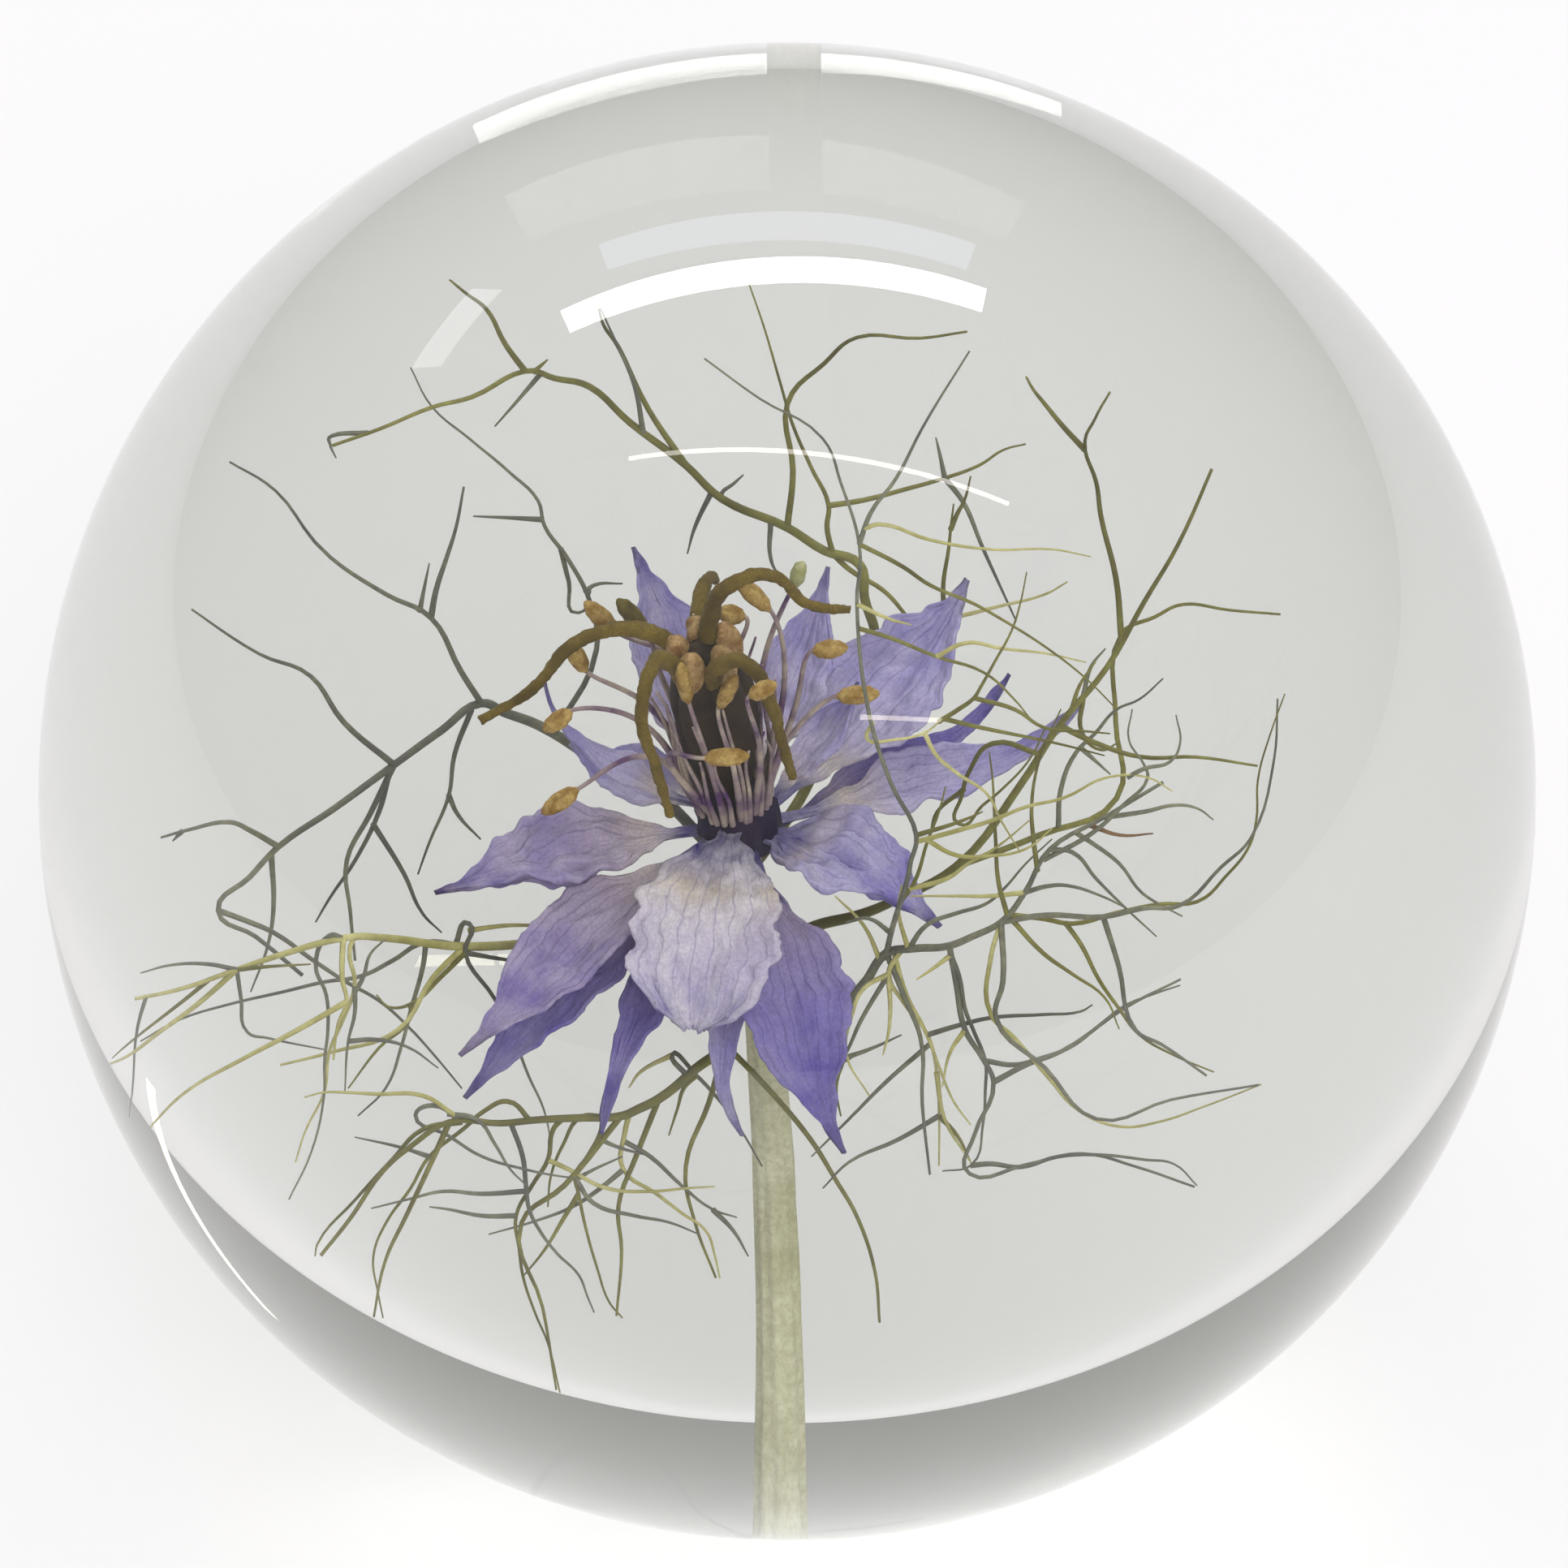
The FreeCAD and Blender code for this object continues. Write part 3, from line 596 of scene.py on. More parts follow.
def make_sepal(name, numbers, finishes):
    """A grid shaped into one dried sepal: a narrow claw, a folded and crumpled blade, and
    a drawn-out tip that curls."""
    azimuth, rise, length, width, arch, fold, tier, curl, sway, twist, crumple, finish = numbers
    azimuth, rise, twist = math.radians(azimuth), math.radians(rise), math.radians(twist)
    outward = Vector((math.sin(azimuth), -math.cos(azimuth), 0))
    across = Vector((math.cos(azimuth), math.sin(azimuth), 0))
    heading = outward * math.cos(rise) + Vector((0, 0, math.sin(rise)))
    lift = heading.cross(across)
    centre = flower_point(0, 0, TIERS[tier])
    root = centre + outward * (RECEPTACLE_RADIUS - CLAW_SINK)
    run = centre + heading * length - root
    offset = Vector((length * 3.1, azimuth * 5, width * 2))
    outline = SEPAL_OUTLINES.get(name, POINTED)

    def uneven(along, wide, layer):
        return noise.noise(Vector((along, wide, layer)) + offset)

    def blade_point(share, side):
        spread = steps_through(outline, share)
        tip = max(0.0, (share - TIP_FROM) / (1 - TIP_FROM))
        middle = root + run * share + lift * (arch * 4 * share * (1 - share))
        middle += lift * (curl * tip * tip) + across * (sway * tip * tip)
        turn = Matrix.Rotation(twist * share * share, 3, heading)
        half = turn @ across * (width / 2 * spread)
        rise_up = turn @ lift
        along = share * length
        rough = uneven(along * 0.55, side * width * 0.5, 0)
        fine = uneven(along * 1.6, side * width * 1.6, 3)
        pleats = abs(uneven(along * 0.35, side * width * 2.6, 5))
        ruffle = math.sin(along * 2.1 + offset.x + side) * side * side * 0.34
        edge = 1 + 0.16 * uneven(along * 1.3, side * 0.6, 7) + 0.05 * uneven(along * 4.0, side * 0.6, 9)
        height = fold * abs(side) ** 1.5 * spread
        height += crumple * spread * (1.1 * rough + 0.5 * fine + ruffle - 0.9 * pleats)
        spot = middle + half * side * edge + rise_up * height
        if outline is BLUNT and share > RAGGED_FROM:
            torn = uneven(side * width * 0.9, 0, 11) * (share - RAGGED_FROM) / (1 - RAGGED_FROM)
            spot += heading * (RAGGED_DEPTH * torn)
        return spot

    bpy.ops.object.select_all(action="DESELECT")
    bpy.ops.mesh.primitive_grid_add(x_subdivisions=SEPAL_STEPS, y_subdivisions=SEPAL_STRIPS, size=1)
    sepal = bpy.context.object
    for vertex in sepal.data.vertices:
        vertex.co = metres(blade_point(vertex.co.x + 0.5, 2 * vertex.co.y))
    solid = sepal.modifiers.new("thickness", "SOLIDIFY")
    solid.thickness = SEPAL_THICKNESS * MM
    solid.offset = 0
    bpy.ops.object.modifier_apply(modifier=solid.name)
    tidy_normals(sepal)
    bpy.ops.object.shade_smooth()
    clothe(sepal, finishes[finish])
    return finish_piece(sepal, name + "_petal", "sepal", name)


# The stem, the knob on it, and the seed capsule. Each profile has stops of (share of the
# length, radius in millimetres)
STEM_RIDGE_DEPTH = 0.20
STEM_BUMP = 0.06
KNOB_PROFILE = [(0, 0.0), (0.06, 0.8), (0.3, 1.45), (0.7, 1.5), (0.94, 1.2), (1, 0)]
CAPSULE_PROFILE = [(0, 0.0), (0.05, 0.85), (0.3, 1.45), (0.6, 1.6), (0.85, 1.35), (0.96, 0.8), (1, 0)]
HORN_RADIUS = 0.52
HORN_FOOT = 0.80            # shares of the capsule's height
HORN_TOP = 1.06


def make_stem(material):
    """The stalk, ridged along its length and slightly bent."""
    route = [STEM_FOOT] + STEM_BENDS + [NECK + flower_axis() * 0.8]
    stem = tube([(route, taper(STEM_FOOT_RADIUS, STEM_NECK_RADIUS, len(route)))], sides=36, steps=14)
    middle = [metres(point) for point in route]
    for vertex in stem.data.vertices:
        runs = zip(middle, middle[1:])
        low, high = next((run for run in runs if vertex.co.z <= run[1].z), middle[-2:])
        share = (vertex.co.z - low.z) / (high.z - low.z)
        axis = low.lerp(high, share)
        out = Vector((vertex.co.x - axis.x, vertex.co.y - axis.y, 0))
        angle = math.atan2(out.y, out.x) + vertex.co.z / MM * 0.02
        ridge = abs(math.cos(angle * STEM_RIDGES / 2)) ** 0.7
        bumpy = noise.noise(Vector((angle, 0, vertex.co.z / MM * 0.35)))
        vertex.co -= out * (STEM_RIDGE_DEPTH * (1 - ridge) + STEM_BUMP * (bumpy + 0.5))
    clothe(stem, material)
    return finish_piece(stem, "ridged_stem", "stem", "stem")


def make_knob(material):
    """The lumpy knob that carries sepals, stamens and capsule, scarred where they join."""
    def profile(share):
        return steps_through(KNOB_PROFILE, share)

    def lumps(angle, share):
        return 1 + 0.06 * math.cos(angle * 8 + share * 9) * math.sin(share * math.pi)

    knob = lathe(profile, 48, 28, between(NECK, flower_point(0, 0, RECEPTACLE_HEIGHT)), lumps)
    clothe(knob, material)
    return finish_piece(knob, "flower_knob", "receptacle", "receptacle")


def make_capsule(body, crown):
    """The ribbed seed capsule: five pointed lobes side by side, with a puckered crown."""
    foot = flower_point(0, 0, RECEPTACLE_HEIGHT)
    top = flower_point(0, 0, RECEPTACLE_HEIGHT + OVARY_HEIGHT)

    def profile(share):
        return steps_through(CAPSULE_PROFILE, share)

    def lobes(angle, share):
        groove = abs(math.cos(angle * OVARY_LOBES / 2)) ** 0.6
        return 0.78 + 0.24 * groove + 0.02 * noise.noise(Vector((angle * 3, 0, share * 14)))

    def horn_profile(share):
        return HORN_RADIUS * math.sin(math.pi * share) ** 0.5

    def puckers(angle, share):
        return 0.8 + 0.3 * abs(math.cos(1.5 * angle + 3 * share))

    capsule = clothe(lathe(profile, 80, 48, between(foot, top), lobes), body)
    parts = [capsule]
    for lobe in range(OVARY_LOBES):
        angle = 2 * math.pi * (lobe + 0.5) / OVARY_LOBES
        low = flower_point(1.15, angle, RECEPTACLE_HEIGHT + OVARY_HEIGHT * HORN_FOOT)
        high = flower_point(0.95, angle + 0.25, RECEPTACLE_HEIGHT + OVARY_HEIGHT * HORN_TOP)
        parts.append(clothe(lathe(horn_profile, 24, 16, between(low, high), puckers), crown))
    return finish_piece(join_pieces(parts), "seed_capsule_body", "seed_capsule", "ovary")


# Each style: the points that it passes, from the capsule's crown to its curled tip, in
# millimetres from the top of the stem
STYLES = {
    "style_left": [(-1.9, -0.4, 9.1), (-3.5, -0.6, 11.0), (-5.1, -1.0, 11.6),
                   (-6.7, -1.6, 11.3), (-8.1, -2.2, 9.7), (-10.1, -3.0, 8.8)],
    "style_top": [(-1.4, -0.6, 9.2), (-1.4, -0.6, 11.8), (-0.7, -0.9, 13.8),
                  (0.9, -1.0, 14.4), (2.3, -1.2, 13.1), (3.9, -1.4, 13.0)],
    "style_front_left": [(-2.1, -1.2, 8.8), (-3.0, -2.6, 11.4), (-3.7, -4.2, 12.6),
                         (-4.1, -5.2, 11.0), (-3.5, -5.4, 8.6), (-2.9, -5.2, 6.0)],
    "style_front_right": [(-1.3, -1.3, 8.9), (-1.0, -2.8, 11.4), (0.0, -3.8, 12.3),
                          (0.9, -4.3, 10.7), (1.3, -4.5, 9.0), (1.7, -4.3, 7.1)],
    "style_back": [(-1.7, 0.2, 9.2), (-1.8, 1.3, 10.0), (-1.6, 2.6, 10.3),
                   (-1.3, 3.8, 9.8), (-1.1, 4.6, 8.9)],
}
STYLE_ROOT_RADIUS = 0.38
STYLE_TIP_RADIUS = 0.17


def make_style(name, points, material):
    """A recurved style, rough with dried stigma along its outer side."""
    route = [from_neck(point) for point in points]
    style = tube([(route, taper(STYLE_ROOT_RADIUS, STYLE_TIP_RADIUS, len(points)))], sides=14, steps=14)
    for vertex in style.data.vertices:
        spot = vertex.co / MM
        vertex.co += vertex.normal * MM * (0.06 * noise.noise(spot * 4.5) + 0.04 * noise.noise(spot * 1.3))
    clothe(style, material)
    return finish_piece(style, name + "_recurved", "style", name)


# Each stamen, in order round the knob from the front towards +X: the bend of its
# filament and the two ends of its anther, from the top of the stem, and its finish
STAMENS = [
    ((-0.5, -2.9, 6.4), (-1.1, -3.0, 9.4), (-0.4, -3.1, 11.2), "tan"),
    ((0.5, -2.8, 7.0), (0.0, -5.4, 12.1), (1.1, -5.4, 12.8), "tan"),
    ((1.5, -1.6, 6.6), (3.3, -2.2, 9.3), (5.0, -2.6, 9.8), "tan"),
    ((1.8, -0.4, 7.2), (2.4, -1.0, 10.5), (3.8, -1.1, 10.8), "tan"),
    ((1.4, 0.7, 7.6), (0.9, -0.2, 11.8), (-0.5, -0.1, 13.5), "tan"),
    ((0.7, 1.8, 7.8), (1.7, 2.0, 11.0), (2.1, 2.1, 12.2), "pale"),
    ((-0.5, 2.2, 6.8), (0.0, 2.4, 9.1), (-1.1, 2.5, 9.3), "tan"),
    ((-2.1, 2.2, 6.8), (-4.7, 2.0, 8.7), (-6.0, 2.2, 10.1), "tan"),
    ((-3.1, 1.6, 7.0), (-3.7, 0.7, 10.0), (-4.9, 0.5, 11.8), "dark"),
    ((-3.5, 0.5, 6.4), (-5.9, 0.2, 8.4), (-6.7, 0.1, 10.0), "tan"),
    ((-4.1, -0.6, 6.8), (-6.5, -1.6, 8.1), (-7.6, -2.0, 7.4), "tan"),
    ((-3.9, -1.8, 6.0), (-6.2, -2.8, 5.3), (-7.6, -3.2, 4.4), "tan"),
    ((-2.9, -2.9, 7.0), (-1.7, -4.6, 8.3), (0.1, -4.7, 8.5), "tan"),
    ((-1.5, -2.7, 6.8), (-2.2, -3.2, 9.8), (-2.6, -3.3, 12.0), "tan"),
]
FILAMENT_RING = 1.2
FILAMENT_RADII = (0.16, 0.11, 0.08, 0.07)
ANTHER_RADIUS = 0.37
ANTHER_PROFILE = [(0, 0.0), (0.05, 0.35), (0.2, 0.8), (0.45, 1.0), (0.75, 0.85), (0.93, 0.45), (1, 0)]
BARE_FILAMENTS = 26
BARE_FILAMENT_RADII = (0.12, 0.085, 0.07, 0.05)


def make_stamen(place, bend, foot, tip, filament_skin, anther_skin):
    """A thread-thin filament that carries an anther of two pale lobes with a dark groove."""
    angle = 2 * math.pi * (place + 0.5) / len(STAMENS)
    root = flower_point(FILAMENT_RING, angle, RECEPTACLE_HEIGHT - 0.2)
    bend, foot, tip = from_neck(bend), from_neck(foot), from_neck(tip)
    inside = foot.lerp(tip, 0.2)
    filament = clothe(tube([([root, bend, foot, inside], FILAMENT_RADII)], steps=12), filament_skin)

    def profile(share):
        return ANTHER_RADIUS * steps_through(ANTHER_PROFILE, share)

    def lobes(angle, share):
        uneven = 1 + 0.1 * noise.noise(Vector((angle, place, share * 6)))
        return (0.62 + 0.42 * abs(math.sin(angle)) ** 0.8) * uneven

    anther = clothe(lathe(profile, 28, 24, between(foot, tip), lobes), anther_skin)
    stamen = join_pieces([filament, anther])
    number = "%02d" % (place + 1)
    return finish_piece(stamen, "anther_stalk_" + number, "stamen", "stamen_" + number)


def make_bare_filaments(material):
    """Filaments round the capsule that have lost their anthers."""
    chance = random.Random(4)
    routes = []
    for count in range(BARE_FILAMENTS):
        angle = 2 * math.pi * count / BARE_FILAMENTS + chance.uniform(-0.1, 0.1)
        height = chance.uniform(3.5, 7.5)
        lean = chance.uniform(1.7, 2.3)
        bend = angle + chance.uniform(-0.1, 0.1)
        points = [flower_point(FILAMENT_RING + 0.15, angle, RECEPTACLE_HEIGHT - 0.3),
                  flower_point(1.75, angle + 0.05, RECEPTACLE_HEIGHT + height * 0.35),
                  flower_point(lean, bend, RECEPTACLE_HEIGHT + height * 0.75),
                  flower_point(lean + chance.uniform(-0.1, 0.5), angle + chance.uniform(-0.2, 0.2),
                               RECEPTACLE_HEIGHT + height)]
        routes.append((points, BARE_FILAMENT_RADII))
    filaments = clothe(tube(routes, steps=8), material)
    return finish_piece(filaments, "bare_filaments", "stamen")


# The thread-like bracts. Each one: how far below the stem's top it grows, then its rib
# and its side threads, from the stem's top. A side thread starts at a point of an earlier one.
BRACTS = {
    "bract_back": (1.0, [
        [(2.3, 4.0, 0.0), (4.5, 8.0, 2.8), (4.0, 9.2, 5.3), (1.5, 10.0, 6.3),
         (-2.0, 11.0, 8.3), (-5.5, 11.0, 12.3), (-8.0, 10.0, 14.3), (-11.5, 8.5, 14.1),
         (-15.5, 7.0, 13.8)],
        [(-2.0, 11.0, 8.3), (-4.5, 11.5, 13.8), (-5.5, 10.0, 17.8)],
        [(1.5, 10.0, 6.3), (1.5, 12.0, 10.3), (4.0, 12.0, 13.8), (8.0, 11.0, 15.3)],
        [(-8.0, 10.0, 14.3), (-10.0, 9.0, 19.3), (-12.0, 8.0, 22.8)],
    ]),
    "bract_left": (1.7, [
        [(-3.0, 4.0, -0.7), (-7.0, 6.5, 0.3), (-9.0, 6.5, 1.3), (-12.0, 5.0, -0.2),
         (-16.0, 3.0, -2.2), (-18.0, 2.0, -4.2), (-15.0, 1.0, -6.2)],
        [(-9.0, 6.5, 1.3), (-11.0, 6.5, 5.3), (-15.0, 6.0, 8.8), (-21.0, 4.0, 16.8)],
        [(-11.0, 6.5, 5.3), (-10.5, 7.5, 7.3), (-10.0, 8.5, 9.8)],
        [(-12.0, 5.0, -0.2), (-15.5, 4.0, 4.8), (-21.5, 2.0, 10.3)],
        [(-16.0, 3.0, -2.2), (-18.0, 2.5, -0.7), (-21.0, 1.0, -0.2)],
        [(-12.0, 5.0, -0.2), (-13.5, 3.5, -3.2), (-13.0, 2.5, -6.7)],
    ]),
    "bract_front_left": (2.4, [
        [(-4.5, -0.5, -3.0), (-10.0, -2.4, -2.4), (-15.0, -5.5, 0.3), (-19.5, -7.0, -0.2),
         (-24.5, -7.5, -1.7)],
        [(-19.5, -7.0, -0.2), (-23.0, -8.0, -2.7), (-26.5, -8.0, -5.2)],
        [(-15.0, -5.5, 0.3), (-15.0, -7.5, -1.2), (-15.5, -8.5, -3.2)],
        [(-10.0, -2.4, -2.4), (-12.5, -5.0, -4.2), (-17.0, -6.0, -5.2)],
        [(-15.0, -7.5, -1.2), (-19.5, -9.5, -2.7), (-24.5, -10.0, -6.7)],
    ]),
    "bract_front": (3.1, [
        [(-0.7, -3.6, -5.8), (-3.1, -6.4, -6.2), (-4.5, -7.5, -6.2), (-7.5, -8.5, -5.7),
         (-11.0, -9.5, -5.2), (-13.5, -10.0, -7.2), (-16.0, -11.0, -10.7)],
        [(-11.0, -9.5, -5.2), (-12.5, -10.0, -9.2), (-13.5, -10.0, -13.7)],
        [(-4.5, -7.5, -6.2), (-8.0, -8.5, -10.2), (-6.5, -9.0, -16.7)],
        [(-3.1, -6.4, -6.2), (-4.5, -8.0, -9.7), (-4.5, -9.0, -13.7)],
        [(-0.7, -3.6, -5.8), (-2.1, -7.0, -8.7), (-1.0, -8.0, -12.7)],
        [(-0.7, -3.6, -5.8), (2.3, -3.8, -9.7), (3.9, -3.4, -13.2), (4.5, -3.0, -17.2)],
    ]),
    "bract_right_front": (3.8, [
        [(2.5, -2.8, -5.2), (5.1, -4.6, -1.0), (7.5, -6.5, 0.8), (9.5, -7.0, 2.3),
         (11.5, -7.0, 5.8), (16.0, -6.0, 8.3)],
        [(7.5, -6.5, 0.8), (8.0, -7.0, -2.7), (9.0, -7.5, -4.7), (8.0, -7.5, -8.7),
         (12.0, -7.0, -8.2), (16.0, -7.0, -9.7)],
        [(9.0, -7.5, -4.7), (11.5, -7.0, -3.7), (16.0, -6.0, -1.2)],
        [(9.5, -7.0, 2.3), (13.5, -8.0, 3.3), (16.5, -8.0, 3.8), (19.5, -7.0, 6.3),
         (21.0, -5.0, 11.8)],
        [(9.5, -7.0, 2.3), (9.3, -9.0, -0.7), (13.0, -10.0, -4.7), (19.0, -8.0, -4.7)],
        [(13.5, -8.0, 3.3), (14.5, -8.5, -1.7), (17.0, -8.0, -4.2)],
        [(5.1, -4.6, -1.0), (6.3, -6.0, -3.7), (6.5, -6.0, -9.7)],
        [(5.1, -4.6, -1.0), (6.1, -8.0, 5.3), (6.5, -9.2, 8.3), (4.7, -10.0, 15.8),
         (4.5, -9.0, 23.8), (3.0, -7.0, 28.3), (-2.0, -2.5, 28.8)],
        [(4.5, -9.0, 23.8), (6.1, -8.0, 26.8), (9.5, -4.5, 31.8)],
    ]),
    "bract_right": (4.6, [
        [(4.0, -0.2, -2.7), (7.5, -0.6, -0.2), (11.5, -0.4, 6.3), (15.0, 0.4, 11.8),
         (18.5, 1.0, 18.8)],
        [(7.5, -0.6, -0.2), (13.1, 2.0, 0.8), (13.5, 4.0, 6.8), (16.0, 3.5, 8.8),
         (20.0, 2.0, 9.8)],
        [(13.5, 4.0, 6.8), (12.9, 6.0, 10.8), (12.5, 6.5, 13.8), (14.0, 5.0, 18.8)],
        [(12.5, 6.5, 13.8), (11.0, 7.5, 15.3), (10.5, 7.0, 17.3)],
        [(11.5, -0.4, 6.3), (14.5, -1.0, 5.3), (19.0, -1.5, 5.3)],
    ]),
}
